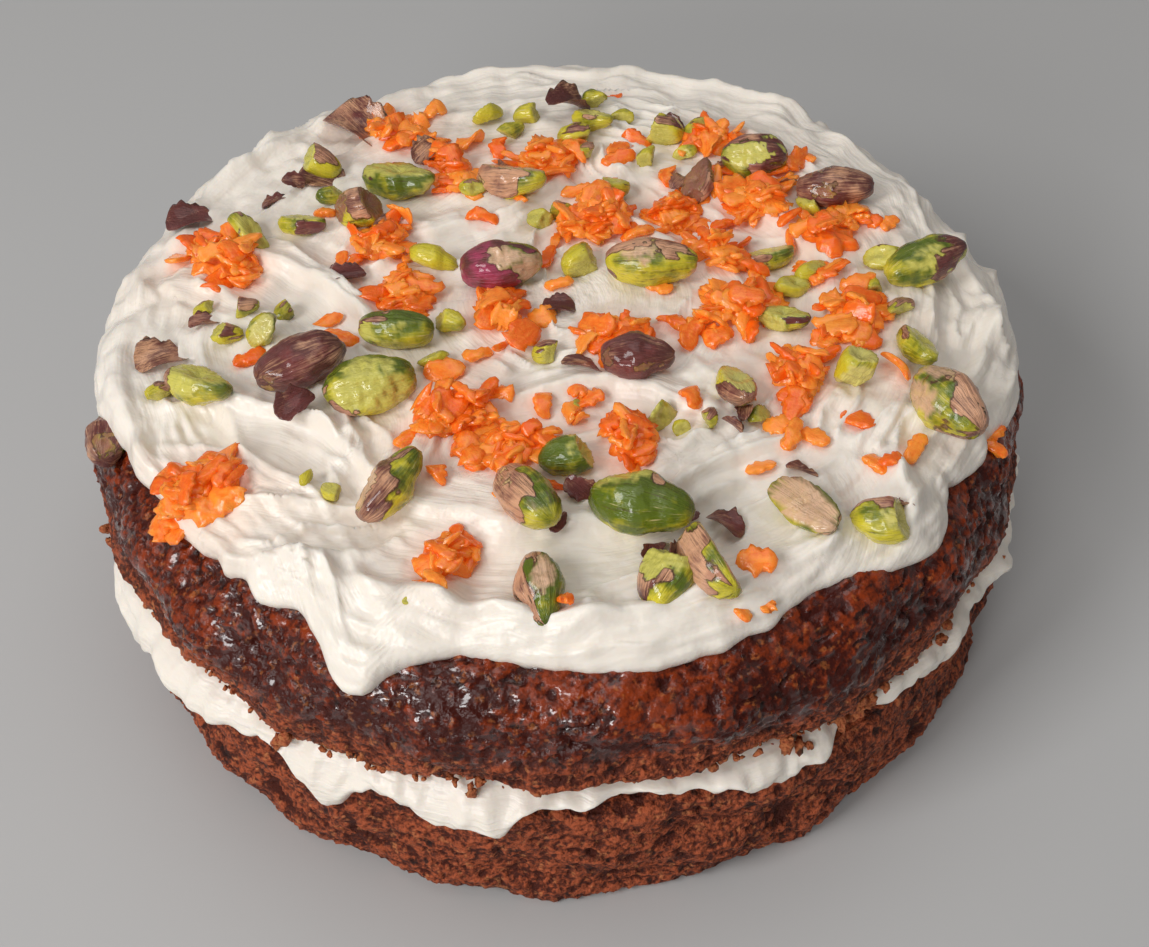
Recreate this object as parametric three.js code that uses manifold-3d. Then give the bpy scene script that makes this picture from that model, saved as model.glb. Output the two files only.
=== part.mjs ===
// A two-layer round carrot cake: two sponges, a cream filling between them, a spread
// frosting on top, and pistachios and heaps of grated carrot strewn over the frosting.
// Millimetres, +Z up, the origin under the middle of the cake, -Y towards the viewer.
import * as THREE from "three";
import { mergeVertices } from "three/addons/utils/BufferGeometryUtils.js";
import Module from "manifold-3d";

const wasm = await Module();
wasm.setup();

// Driving dimensions of the cake
const SPONGE_RADIUS = 90;
const LOWER_TOP = 28.5;
const UPPER_BOTTOM = 35.5;
const UPPER_TOP = 61;
const FROSTING_DEPTH = 5.2;
const GAP = 0.3;

// Shape of the sponges
const SHOULDER_RISE = 15;
const SHOULDER_DEPTH = 30;
const DOME_RISE = 1.8;
const CRUST_ROUND = 3;
const CRAG_DEPTH = 0.55;
const SIDE_SEGMENTS = 60;

// Shape of the frosting's rim
const FRONT_REACH = 80.5;
const BACK_REACH = 90;
const FRONT_RIM = 13;
const BACK_RIM = 8;
const RIM_SINK = 2;
const FROSTING_SEGMENTS = 64;
const FROSTING_RINGS = [0.2, 0.38, 0.53, 0.65, 0.75, 0.83, 0.895, 0.945, 0.98];

// Lobes of the frosting's edge: where (degrees), half width (degrees), extra reach
const EDGE_LOBES = [
  [-164, 5, 1.4], [-141, 6, 1.6], [-129, 4, 2], [-113, 7, 8], [-102, 6, -1.6], [-82, 13, 1.4], [-58, 6, -1.8],
  [-41, 8, 5.4], [-30, 4, -1.5], [-14, 7, 2.6], [14, 8, -1.2], [38, 7, 1.2], [90, 48, -3], [63, 9, -0.8],
  [88, 8, 1.4], [112, 9, -1], [137, 7, 1.4], [180, 10, 1.6],
];

// Strokes of the palette knife over the top: centre of the arc, its radius, its middle
// (degrees), its half span (degrees), the trough's half width, depth and lip height
const STROKES = [
  [0, -6, 61, -90, 46, 9, 2.2, 1.9], [-6, -2, 63, -150, 26, 8, 1.8, 1.8],
  [30, 20, 52, -48, 34, 8, 1.6, 1.5], [4, -120, 66, 92, 24, 7, 1.5, 1.6],
  [-70, -70, 58, 52, 30, 7, 1.4, 1.4], [0, 0, 74, 58, 44, 7, 1.4, 1.5],
  [0, 0, 72, 138, 32, 7, 1.5, 1.4], [14, 0, 30, 30, 60, 8, 1.1, 1.0],
];

// Shape of the filling
const FILLING_REACH = 88.2;
const FILLING_BULGE = 2.6;
const FILLING_SEGMENTS = 60;

// Lobes of the filling: where (degrees), half width (degrees), extra reach, droop
const FILLING_LOBES = [
  [-150, 9, 3.2, 4.5], [-136, 7, 2.8, 4.5], [-117, 5, 2, 8.5], [-101, 6, 1.8, 6], [-84, 8, -1.6, -1],
  [-66, 7, 1, 5.5], [-55, 4, -3.4, 0], [-41, 5, 1.6, 5], [-24, 7, 2.4, 3], [-6, 8, 2.2, 2.5], [14, 7, -1, 0],
  [34, 9, 2.4, 4], [58, 7, -0.8, 0], [80, 9, 2.2, 4.5], [107, 8, 0, 1], [132, 8, 2.4, 4], [162, 9, 0.6, 1],
];

// Pistachios: form, skin, x, y, heading (degrees), length
const PISTACHIOS = [
  ["whole", "green", 14, -55, -21, 18.5], ["whole", "pink", -5, -53, -58, 17],
  ["whole", "pink", -3, -70, -82, 14], ["end", "green", 18, -67, 53, 10.5],
  ["half", "pink", 25, -66, -68, 16], ["end", "pink", -28, -49, 48, 13],
  ["end", "green", 3, -43, 0, 9.5], ["half", "pink", 41, -55, -51, 14.5],
  ["end", "pale", 55, -57, -13, 9.5], ["whole", "pink", 69, -33, -64, 18],
  ["half", "pale", 32, -28, -76, 13], ["end", "pale", 54, -24, 0, 9],
  ["half", "green", 66, -18, -73, 12], ["whole", "dark", 15, -20, -5, 14],
  ["whole", "green", -33, -25, 14, 17.5], ["whole", "dark", -46, -19, 24, 17.5],
  ["half", "green", -64, -22, -29, 14.5], ["end", "pale", -54, -9, 0, 8.5],
  ["whole", "dark", -82, -24, 98, 13], ["whole", "green", -29, -11, -6, 14.5],
  ["whole", "pink", -10, 6, -2, 14.5], ["half", "pink", 19, 6, -6, 18],
  ["half", "pale", -50, 24, -12, 10.5], ["end", "dark", -38, 26, -13, 10],
  ["half", "green", -31, 36, -21, 17], ["whole", "pink", -8, 34, -28, 16.5],
  ["half", "dark", 30, 33, 32, 10.5], ["whole", "green", 42, 40, -3, 14],
  ["whole", "dark", 57, 29, -5, 16], ["half", "pale", 42, 12, 12, 11],
  ["half", "green", 43, -8, -25, 10.5], ["whole", "green", 71, 5, 22, 17.5],
  ["half", "pale", 9, 56, -28, 10],
];
const KERNEL_WIDTH = 0.56;
const KERNEL_HEIGHT = 0.5;
const KERNEL_SINK = 0.14;

// Heaps of grated carrot: x, y, width, depth
const CARROT_HEAPS = [
  [-60, -46, 19, 14], [-65, 14, 17, 14], [-34, 16, 12, 11], [-32, 56, 14, 12], [-20, 41, 10, 14],
  [-1, 44, 15, 11], [8, 23, 18, 12], [23, 26, 11, 14], [41, 28, 14, 12], [35, 49, 11, 10],
  [55, 15, 14, 13], [30, 13, 14, 10], [35, -4, 13, 15], [57, -9, 13, 12], [12, -10, 10, 10],
  [-27, 3, 11, 9], [-19, -30, 17, 18], [12, -38, 8, 14], [44, -22, 13, 13], [-18, -62, 10, 10],
  [-6, -38, 11, 10], [-10, -6, 10, 11],
];
const HEAP_HEIGHT = 7.5;
const SHRED_WIDTH = 2.2;
const SHRED_THICKNESS = 1.3;
const SHRED_LENGTH = 9;

// Small pieces stuck in the frosting: x, y, heading (degrees), length
const NUT_CHIPS = [
  [18, -32, 5, 8], [-1, -16, 0, 6], [-59, -2, 0, 6.5], [-62, -8, 7, 7],
  [-22, -17, 0, 7], [-20, -7, -41, 8], [6, 9, 35, 9], [-60, 20, -39, 10], [-49, 43, -17, 10],
  [12, 33, 0, 7], [46, 2, 21, 7.5], [64, 8, 4, 8], [65, -6, 40, 6], [6, 51, 0, 8],
  [-4, 60, 0, 7.5], [-9, 54, 30, 6.5], [23, 51, 0, 9], [-23, 11, -12, 9],
];
const CARROT_CHIPS = [
  [14, 43, 20, 8], [51, 41, 50, 8], [-1, 12, 70, 8], [25, -12, 80, 9], [41, -38, 60, 8], [-41, -10, 10, 9],
  [-56, -14, 0, 7], [24, -29, -50, 6], [35, -44, 20, 6], [32, -66, 0, 7], [53, -34, -40, 7],
  [62, -41, 60, 8], [55, -44, -55, 6], [78, -33, -20, 7],
  [-14, -16, 0, 6], [-14, 24, 5, 7], [1, 3, 0, 6],
];
const SKIN_FLAKES = [
  [-46, -29, 30, 8], [-73, -12, 30, 10], [-42, 59, -51, 17], [-40, 7, 10, 8], [-74, 30, 0, 10],
  [-57, 34, 16, 6], [42, -45, -26, 6], [4, 61, 46, 12], [4, -50, -25, 6],
];

// Colours of the materials, with their roughness
const FINISH = {
  sponge: ["#5b2a17", 0.62],
  cream: ["#f0e9dc", 0.45],
  green: ["#7d8a2c", 0.5],
  pale: ["#b5ae4a", 0.5],
  pink: ["#a9785c", 0.6],
  dark: ["#4a2524", 0.6],
  carrot: ["#ee6a24", 0.4],
};

const DEGREE = Math.PI / 180;
const GOLDEN_ANGLE = 137.508 * DEGREE;
const smooth = (from, to, x) => THREE.MathUtils.smoothstep(x, from, to);
const bell = (x) => Math.exp(-x * x);

// The difference of two angles, in degrees, from -180 to 180.
const turnBetween = (a, b) => THREE.MathUtils.euclideanModulo(a - b + 180, 360) - 180;

// A closed three.js geometry as a solid that can be cut and joined.
function toSolid(geometry) {
  const bare = geometry.clone();
  bare.deleteAttribute("normal");
  bare.deleteAttribute("uv");
  const merged = mergeVertices(bare, 1e-3);
  const vertProperties = merged.attributes.position.array;
  const triVerts = new Uint32Array(merged.index.array);
  return new wasm.Manifold(new wasm.Mesh({ numProp: 3, vertProperties, triVerts }));
}

// A solid as a three.js geometry.
function toGeometry(solid) {
  const { vertProperties, triVerts } = solid.getMesh();
  const geometry = new THREE.BufferGeometry();
  geometry.setAttribute("position", new THREE.BufferAttribute(vertProperties, 3));
  geometry.setIndex(new THREE.BufferAttribute(triVerts, 1));
  geometry.computeVertexNormals();
  return geometry;
}

// The largest body of a solid, without the scraps that a cut leaves.
function largestBody(solid) {
  return solid.decompose().reduce((a, b) => (b.volume() > a.volume() ? b : a));
}

// Moves each vertex of a geometry to where a function puts it.
function reshape(geometry, place) {
  const positions = geometry.attributes.position;
  const point = new THREE.Vector3();
  for (let i = 0; i < positions.count; i++) {
    point.fromBufferAttribute(positions, i);
    place(point);
    positions.setXYZ(i, point.x, point.y, point.z);
  }
  return geometry;
}

// A profile of [radius, height] points turned about +Z, each point then moved by
// place(angle, radius, height), which gives the new radius and height.
function turned(profile, segments, place) {
  const points = profile.map(([r, z]) => new THREE.Vector2(r, z));
  const geometry = new THREE.LatheGeometry(points, segments).rotateX(Math.PI / 2);
  return reshape(geometry, (p) => {
    const angle = Math.atan2(p.y, p.x);
    const [r, z] = place(angle, Math.hypot(p.x, p.y), p.z);
    p.set(r * Math.cos(angle), r * Math.sin(angle), z);
  });
}

// Low crags of a baked side: waves of unlike lengths round the cake and up it.
function crag(angle, z) {
  return CRAG_DEPTH * (Math.sin(11 * angle + 0.31 * z) + Math.sin(23 * angle - 0.17 * z + 1)
    + 0.8 * Math.sin(5 * angle + 0.5 * z + 2));
}

// Both sponges widen by grow, which keeps their neighbours clear.
function lowerSponge(grow = 0) {
  const r = SPONGE_RADIUS;
  const profile = [[0, 0], [r - CRUST_ROUND, 0], [r - 0.8, 1.4], [r, 5], [r, 14], [r, LOWER_TOP - 4.5],
    [r - 0.8, LOWER_TOP - 1.2], [r - CRUST_ROUND, LOWER_TOP], [0, LOWER_TOP]];
  return toSolid(turned(profile, SIDE_SEGMENTS, (angle, radius, z) => [
    radius < 1 ? 0 : radius + grow + crag(angle, z), z > 1 ? z + grow : z - grow]));
}

// Height of the upper sponge's crust over a radius: a low dome and a round shoulder.
function crustHeight(radius) {
  const inward = Math.max(0, 1 - (SPONGE_RADIUS - radius) / SHOULDER_DEPTH);
  const drop = SHOULDER_RISE * (1 - Math.sqrt(1 - Math.min(1, inward) ** 4));
  return UPPER_TOP - DOME_RISE * (radius / SPONGE_RADIUS) ** 2 - drop;
}

function upperSponge(grow = 0) {
  const r = SPONGE_RADIUS;
  const shoulder = [90, 89.2, 87, 83.5, 78, 70, 50].map((radius) => [radius, crustHeight(radius)]);
  const low = UPPER_BOTTOM;
  const profile = [[0, low], [r - 4, low], [r - 1, low + 1], [r, low + 3.5], ...shoulder, [0, UPPER_TOP]];
  return toSolid(turned(profile, SIDE_SEGMENTS, (angle, radius, z) => {
    const side = smooth(80, 89, radius);
    return [radius < 1 ? 0 : radius + grow + side * crag(angle, z), z > low + 0.5 ? z + grow : z - grow];
  }));
}

// The crust followed from the middle outwards: the point at an arc length, with its
// outward slope. Past the shoulder it runs straight down the side.
const CRUST_STEPS = 400;
const crustPath = [[0, UPPER_TOP, 0]];
for (let i = 1; i <= CRUST_STEPS; i++) {
  const radius = SPONGE_RADIUS * Math.sin((i / CRUST_STEPS) * Math.PI / 2);
  const z = crustHeight(radius);
  const [lastRadius, lastZ, lastLength] = crustPath[i - 1];
  crustPath.push([radius, z, lastLength + Math.hypot(radius - lastRadius, z - lastZ)]);
}
function crustAt(length) {
  const i = Math.max(1, crustPath.findIndex((p) => p[2] >= length));
  const [r0, z0, l0] = crustPath[i - 1];
  const [r1, z1, l1] = crustPath[i];
  const t = THREE.MathUtils.clamp((length - l0) / (l1 - l0), 0, 1);
  const slope = Math.atan2(z0 - z1, r1 - r0);
  return { radius: r0 + (r1 - r0) * t, z: z0 + (z1 - z0) * t, slope };
}

// 0 at the front of the cake, 1 at its sides and back.
const backness = (angle) => smooth(-0.55, -0.05, Math.sin(angle));

// How far along the crust the frosting reaches at an angle: far at the back and the
// sides, short at the front, with lobes and a fine scallop.
function frostingReach(angle) {
  const degrees = angle / DEGREE;
  const lobes = EDGE_LOBES.reduce(
    (sum, [at, width, reach]) => sum + reach * bell(turnBetween(degrees, at) / width), 0);
  const scallop = 0.5 * Math.sin(19 * angle + 1) + 0.4 * Math.sin(31 * angle);
  return FRONT_REACH + (BACK_REACH - FRONT_REACH) * backness(angle) + lobes + scallop;
}

// Relief that the palette knife leaves: each stroke is a trough along an arc, with a
// lip pushed up on its outer side, fading out at its ends.
function strokeRelief(x, y) {
  return STROKES.reduce((sum, [cx, cy, radius, middle, span, width, depth, lip]) => {
    const across = (Math.hypot(x - cx, y - cy) - radius) / width;
    const along = turnBetween(Math.atan2(y - cy, x - cx) / DEGREE, middle) / span;
    const trough = -depth * bell(across / 0.9) + lip * bell((across - 1.25) / 0.42);
    return sum + trough * bell(along ** 2);
  }, 0);
}

// Thickness of the frosting at a share of its reach: full inside, round at the rim.
function frostingThickness(angle, share, reach, radius) {
  const width = THREE.MathUtils.lerp(FRONT_RIM, BACK_RIM, backness(angle));
  const rim = THREE.MathUtils.clamp(1 - (reach * (1 - share)) / width, 0, 1);
  const relief = strokeRelief(radius * Math.cos(angle), radius * Math.sin(angle));
  return (FROSTING_DEPTH + relief * (1 - rim ** 3)) * Math.sqrt(1 - rim ** 2.2);
}

// Height of the frosting's top at a point, for what lies on it.
function frostingTop(x, y) {
  const radius = Math.hypot(x, y);
  const angle = Math.atan2(y, x);
  const reach = frostingReach(angle);
  return crustHeight(radius) + frostingThickness(angle, Math.min(1, radius / reach), reach, radius);
}

// The frosting's outside lies off the crust by its thickness, and its underside is
// sunk in the crust before the sponge is cut out of it.
function frosting(grow = 0) {
  const top = FROSTING_RINGS.map((share) => [share, 1]).reverse();
  const profile = [[0, 0], [0.5, 0], [0.9, 0], [1, 0.5], ...top, [0, 1]];
  const geometry = turned(profile, FROSTING_SEGMENTS, (angle, share, side) => {
    const reach = frostingReach(angle);
    const { radius, z, slope } = crustAt(share * reach);
    const above = frostingThickness(angle, share, reach, radius) + grow;
    const thickness = side > 0.6 ? above : (side - 1) * RIM_SINK;
    return [share < 0.01 ? 0 : radius + thickness * Math.sin(slope), z + thickness * Math.cos(slope)];
  });
  return toSolid(geometry);
}

// The filling runs through the cake and is squeezed out into a bulging, drooping rim.
function filling() {
  const low = LOWER_TOP + GAP;
  const high = UPPER_BOTTOM - GAP;
  const profile = [[0, low], [0.9, low], [0.97, low], [1, low + 1.6], [1, (low + high) / 2],
    [0.985, high - 0.8], [0.95, high], [0, high]];
  const geometry = turned(profile, FILLING_SEGMENTS, (angle, share, z) => {
    const lobes = FILLING_LOBES.map(([at, width, reach, droop]) => {
      const weight = bell(turnBetween(angle / DEGREE, at) / width);
      return [reach * weight, droop * weight];
    });
    const reach = lobes.reduce((sum, lobe) => sum + lobe[0], FILLING_REACH);
    const droop = lobes.reduce((sum, lobe) => sum + lobe[1], 0);
    const rim = smooth(0.94, 1, share);
    const lowness = THREE.MathUtils.clamp((high - z) / (high - low), 0, 1);
    return [share < 0.01 ? 0 : share * reach + rim * FILLING_BULGE * bell((lowness - 0.6) * 1.6),
      z - rim * droop * lowness];
  });
  return largestBody(toSolid(geometry).subtract(lowerSponge(GAP)).subtract(upperSponge(GAP)));
}

// A kernel along +X: an ellipsoid that narrows to one end, with a groove along its seam.
function kernel(length) {
  return reshape(new THREE.SphereGeometry(1, 8, 5).rotateZ(Math.PI / 2), (p) => {
    const taper = 1 - 0.22 * smooth(-0.2, 1, p.x) + 0.06 * smooth(0, -1, p.x);
    const seam = 1 - 0.05 * bell(Math.atan2(p.y, p.z) / 0.5);
    const across = (taper * length) / 2;
    p.set((p.x * length) / 2, p.y * across * KERNEL_WIDTH, p.z * across * seam * KERNEL_HEIGHT);
  });
}

// A box to cut with: everything past a plane, given by its middle and its turn.
function cutter(middle, euler) {
  const size = 60;
  const geometry = new THREE.BoxGeometry(size, size, size).translate(0, 0, size / 2);
  const turn = new THREE.Matrix4().makeRotationFromEuler(euler);
  return toSolid(geometry.applyMatrix4(turn).translate(...middle));
}

// One pistachio: whole, split in half with its flat side up, or an end broken off. It
// is larger by swell, which keeps the next piece clear.
function pistachio([form, , x, y, heading, length], index, swell = 0) {
  const broken = form === "end" ? length * 1.45 : length;
  const half = form === "half" ? 1.15 : 1;
  let body = toSolid(kernel(broken + swell).scale(1, half, half));
  if (form === "half") {
    body = body.subtract(cutter([0, 0, 0.06 * length + swell / 2], new THREE.Euler(0.12, 0, 0)));
  }
  if (form === "end") {
    const slant = new THREE.Euler(0, Math.PI / 2 - 0.25, 0.2);
    body = body.subtract(cutter([0.24 * length + swell / 2, 0, 0], slant)).translate([0.2 * length, 0, 0]);
  }
  const tilt = 9 * Math.sin(index * GOLDEN_ANGLE);
  const roll = form === "half" ? 24 * Math.cos(index * GOLDEN_ANGLE) + 14 : 40 * Math.sin(2 * index);
  const lift = KERNEL_HEIGHT * broken * (0.5 - KERNEL_SINK);
  return body.rotate([roll, 0, 0]).rotate([0, tilt, heading]).translate([x, y, frostingTop(x, y) + lift]);
}

// One shred of grated carrot along +X, narrower at one end.
function shred(length) {
  const geometry = new THREE.BoxGeometry(length, SHRED_WIDTH, SHRED_THICKNESS);
  return toSolid(reshape(geometry, (p) => {
    p.y *= p.x > 0 ? 0.7 : 1;
  }));
}

// A heap: a low core with shreds laid over it, turned by the golden angle. It is scaled
// by swell, which keeps the next piece clear.
function carrotHeap([x, y, width, depth], index, swell = 1) {
  const base = frostingTop(x, y);
  let body = toSolid(new THREE.IcosahedronGeometry(1, 0).scale(0.5 * width, 0.5 * depth, HEAP_HEIGHT * 0.75));
  const count = Math.round(1.5 + (width * depth) / 100);
  for (let i = 0; i < count; i++) {
    const around = (i + 3 * index) * GOLDEN_ANGLE;
    const out = 0.42 * Math.sqrt((i + 0.5) / count);
    const height = HEAP_HEIGHT * (0.66 - out);
    const place = [out * width * Math.cos(around), out * depth * Math.sin(around), height];
    const strip = shred(SHRED_LENGTH * (0.75 + 0.3 * Math.sin(5 * i + index)))
      .rotate([30 * Math.sin(3 * i + index), 14 * Math.cos(i + index), around / DEGREE + 70]);
    body = body.add(strip.translate(place));
  }
  return body.scale(swell).translate([x, y, base + 0.4]);
}

// A small piece half sunk in the frosting: a lump, a shred or a thin skin.
function chip([x, y, heading, length], width, height) {
  const geometry = new THREE.OctahedronGeometry(1, 0).scale(length / 2, width / 2, height);
  return toSolid(geometry.rotateZ(heading * DEGREE).translate(x, y, frostingTop(x, y) + 0.15 * height));
}

// Every node: its name, its solid and the name of its finish
const frostingAir = frosting(GAP);
const nodes = [
  ["sponge_lower", lowerSponge(), "sponge"],
  ["cream_filling", filling(), "cream"],
  ["sponge_upper", upperSponge(), "sponge"],
];

const taken = [];
PISTACHIOS.forEach((row, i) => {
  const clear = taken.reduce((body, other) => body.subtract(other), pistachio(row, i).subtract(frostingAir));
  taken.push(pistachio(row, i, 2 * GAP));
  const number = String(i + 1).padStart(2, "0");
  nodes.push([`pistachio_${row[0]}_${number}`, largestBody(clear.subtract(upperSponge(GAP))), row[1]]);
});
CARROT_HEAPS.forEach((row, i) => {
  const heap = carrotHeap(row, i);
  const clear = taken.reduce((body, other) => body.subtract(other), heap.subtract(frostingAir));
  taken.push(carrotHeap(row, i, 1.08));
  nodes.push([`carrot_heap_${String(i + 1).padStart(2, "0")}`, largestBody(clear), "carrot"]);
});

// Chips are fused to the frosting where no larger piece lies.
const chips = [
  ...NUT_CHIPS.map((row) => chip(row, row[3] * 0.62, 3)),
  ...CARROT_CHIPS.map((row) => chip(row, 3.4, 2.4)),
  ...SKIN_FLAKES.map((row) => chip(row, row[3] * 0.5, 2)),
];
const free = chips.filter((piece) => taken.every((other) => piece.intersect(other).isEmpty()));
const topped = free.reduce((body, piece) => body.add(piece), frosting());
nodes.push(["frosting", largestBody(topped.subtract(upperSponge(GAP))), "cream"]);

const cake = new THREE.Group();
cake.name = "carrot_cake";
for (const [name, solid, finish] of nodes) {
  const [color, roughness] = FINISH[finish];
  const material = new THREE.MeshStandardMaterial({ color, roughness, metalness: 0 });
  const mesh = new THREE.Mesh(toGeometry(solid), material);
  mesh.name = name;
  cake.add(mesh);
}

export default cake;
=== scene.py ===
"""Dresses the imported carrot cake: crumbly sponges, spread cream, nuts and grated carrot."""

import math

import bpy
import numpy as np
from bpy.props import FloatProperty, FloatVectorProperty, IntProperty, PointerProperty
from mathutils import Matrix, Vector


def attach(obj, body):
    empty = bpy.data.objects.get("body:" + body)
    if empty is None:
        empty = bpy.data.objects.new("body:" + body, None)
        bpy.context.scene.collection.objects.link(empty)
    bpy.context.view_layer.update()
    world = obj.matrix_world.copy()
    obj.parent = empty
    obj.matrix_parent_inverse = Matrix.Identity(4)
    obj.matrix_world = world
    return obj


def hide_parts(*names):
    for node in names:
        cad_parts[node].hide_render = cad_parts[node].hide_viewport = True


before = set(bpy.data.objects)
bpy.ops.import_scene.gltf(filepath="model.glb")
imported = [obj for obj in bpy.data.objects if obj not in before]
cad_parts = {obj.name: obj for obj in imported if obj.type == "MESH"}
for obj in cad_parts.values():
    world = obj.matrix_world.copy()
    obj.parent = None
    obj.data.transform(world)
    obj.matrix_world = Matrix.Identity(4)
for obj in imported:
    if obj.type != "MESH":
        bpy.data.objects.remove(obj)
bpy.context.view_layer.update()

bl_info = {
    "name": "Carrot cake",
    "version": (1, 0, 0),
    "blender": (4, 5, 0),
    "location": "View3D > Sidebar > Cake",
    "description": "Builds the cake's sponges, cream, pistachios and grated carrot",
    "category": "Add Mesh",
}

MM = 0.001
TURN = 2 * math.pi

# Upper crust (mm): fall of the crown, width of the shoulder and its drop
CROWN_FALL = 1.8
SHOULDER_WIDTH = 30
SHOULDER_DROP = 15
# Rings where the noise along the frosting's edge and along the side is read, the largest radius
# where the crust's height is read, and the ring where loose crumbs hang (mm)
EDGE_RING = 85
SIDE_RING = 90
CRUST_LIMIT = 89.9
CRUMB_RING = 88.9
# Frosting: turns over which its edge is averaged (degrees), its least depth and how far its
# underside lies inside the crust (mm)
EDGE_TAPS = (-0.5, -0.17, 0.17, 0.5)
LEAST_DEPTH = 1.2
UNDERLAP = 1.4
# Filling (mm): reach of its rim, its bulge, and the gap to each sponge
FILLING_REACH = 88.2
FILLING_BULGE = 2.6
FILLING_GAP = 0.15
# Kernels: width and height as shares of the length, power of the section, and sharpness of
# the corners where a piece is broken off
KERNEL_WIDTH = 0.60
KERNEL_HEIGHT = 0.55
KERNEL_POWER = 2.3
CORNER_SHARPNESS = 32.0
NO_CUT = 9.0
# Share of its own height that each kind of piece sinks into the frosting
NUT_SINK = 0.16
NUT_CHIP_SINK = 0.14
CARROT_CHIP_SINK = 0.12
FLAKE_SINK = 0.10

# Fixed tints, in linear light
# The next tint colours flecks of fresh crumb and the torn edge, where its lightness is partly
# painted light for thin tatters that light shines through
FRESH_CRUMB_AND_GLOW = (0.58, 0.215, 0.080)
CRUMB_SPECK = (0.020, 0.006, 0.005)
CRUST_FLECK = (0.52, 0.17, 0.045)
CRUST_SPECK = (0.014, 0.004, 0.003)
CREAM_SHADE = (0.84, 0.74, 0.62)
FLESH_SCRATCH = (0.66, 0.54, 0.26)
# The seam tint is partly painted shade for a kernel's crevices
FLESH_SEAM_SHADE = (0.075, 0.045, 0.012)
SKIN_BLUSH = (0.30, 0.065, 0.060)
SKIN_MAGENTA = (0.50, 0.055, 0.140)
SKIN_FRINGE = (0.10, 0.020, 0.022)
CUT_PALE = (0.76, 0.67, 0.20)
CUT_PINK = (0.76, 0.46, 0.29)
CUT_DARK = (0.32, 0.11, 0.08)

# Soft lights: name, place (m), size (m), power (W), and the point that they face
LIGHTS = (
    ("window", (-0.85, -0.6, 0.95), 0.5, 8.7),
    ("ceiling", (0.0, 0.2, 1.3), 1.1, 3.9),
    ("doorway", (-0.50, -0.98, 0.46), 0.30, 4.2),
)
LIGHT_TARGET = (0, 0, 0.04)
ROOM_COLOUR = (1.0, 0.985, 0.965, 1)
ROOM_STRENGTH = 0.205
FLOOR_REACH = 6

# Camera: place (m), tilt up from straight down and roll (degrees), focal length and width of
# the picture (pixels), width of the sensor (mm)
CAMERA_PLACE = (0.003, -0.226, 0.261)
CAMERA_TILT = 42.8
CAMERA_ROLL = -1.6
FOCAL_PIXELS = 1560
PICTURE_WIDTH = 1149
SENSOR_WIDTH = 36

# Edge of the frosting: where (degrees), reach from the crown along the crust (mm)
EDGE = np.array([
    [-180, 90], [-170, 88.5], [-162, 85.5], [-160, 83.5], [-154, 83], [-150, 81.5], [-147, 81],
    [-143, 82], [-138, 81.6], [-136, 80.2], [-133.5, 81.9], [-131, 79.9], [-128, 82.3],
    [-124.5, 81], [-122.8, 79.6], [-120.8, 81], [-118.5, 83], [-116.7, 85.2], [-115.3, 87.8],
    [-113, 89.4], [-111, 88.5], [-109.8, 85.6], [-107.5, 82.7], [-105, 80.6], [-102, 78.9],
    [-97, 79.5], [-92, 80.2], [-86, 81.6], [-79.5, 82.5], [-74, 81.6], [-71, 82.2], [-68, 80.7],
    [-65, 81.4], [-62.8, 79.7], [-58, 78.7], [-55, 79.6], [-52.5, 80.4], [-48.5, 83], [-44.8, 85],
    [-41.5, 86.2], [-38.5, 85.4], [-36, 83], [-33, 81.2], [-29, 83.5], [-26, 85], [-23, 83.9],
    [-18, 87.8], [-12, 89.2], [0, 90], [14, 88.6], [38, 89.5], [63, 86], [88, 88], [112, 85.6],
    [137, 89], [160, 88.6], [180, 90],
])

# Strokes of the palette knife: centre x, y of the arc, its radius, its middle (degrees),
# half span (degrees), half width, depth and lip height (mm)
STROKES = np.array([
    [0, -4, 60, -87, 42, 8, 2.3, 2.0], [0, 0, 79, -84, 34, 3, 0.5, 0.5],
    [-40, -20, 35, -92, 26, 4, 1.5, 1.5], [66, -13, 120, -151, 8, 9, 0.8, 1.4],
    [20, -50, 32, -14, 24, 5, 1.2, 1.9], [40, 0, 36, -8, 36, 4, 1.4, 1.9],
    [30, 20, 50, 24, 32, 6, 1.2, 1.5], [0, 0, 72, 136, 30, 6, 1.4, 1.5],
    [0, 0, 74, 76, 36, 6, 1.2, 1.5], [-70, -70, 42, 60, 32, 4.5, 1.4, 1.6],
    [-60, -35, 30, 0, 24, 6, 1.0, 1.0], [-80, -30, 45, 55, 26, 6, 1.2, 1.6],
    [14, 0, 30, 30, 60, 7, 1.4, 1.4], [5, -60, 30, 95, 42, 5, 1.5, 1.4],
    [60, -90, 52, 128, 16, 4, 1.2, 1.5], [-30, 60, 44, -60, 34, 5, 1.0, 1.1],
    [-6, -2, 66, -160, 22, 6, 1.5, 1.7], [60, 70, 60, -130, 26, 5, 0.9, 1.0],
])

# Lobes of the filling: where (degrees), half width (degrees), extra reach, droop (mm)
FILLING_LOBES = np.array([
    [-150, 9, 3.2, 4.5], [-136, 7, 2.8, 4.2], [-117, 4, 2, 8], [-102, 5, 1.8, 5],
    [-97, 2, 0.8, 2.5], [-84, 8, -1.6, -1], [-66, 6, 1, 3.4], [-55, 4, -3.4, 0],
    [-41, 5, 1.2, 2.6], [-24, 7, 2.4, 1.8], [-6, 8, 2.2, 1.8], [14, 7, -1, 0], [34, 9, 2.4, 3],
    [58, 7, -0.8, 0], [80, 9, 2.2, 3.2], [107, 8, 0, 1], [132, 8, 2.4, 3], [162, 9, 0.6, 1],
])

# Torn lower edge of the upper sponge: where (degrees), half width (degrees), drop (mm)
TORN_LOBES = np.array([
    [-80, 20, -2.0], [-123, 6, 1.5], [-109, 8, 0.8], [-56, 4, 1.5], [-45, 8, 1.5], [20, 20, -1],
    [130, 25, 1],
])

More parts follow.
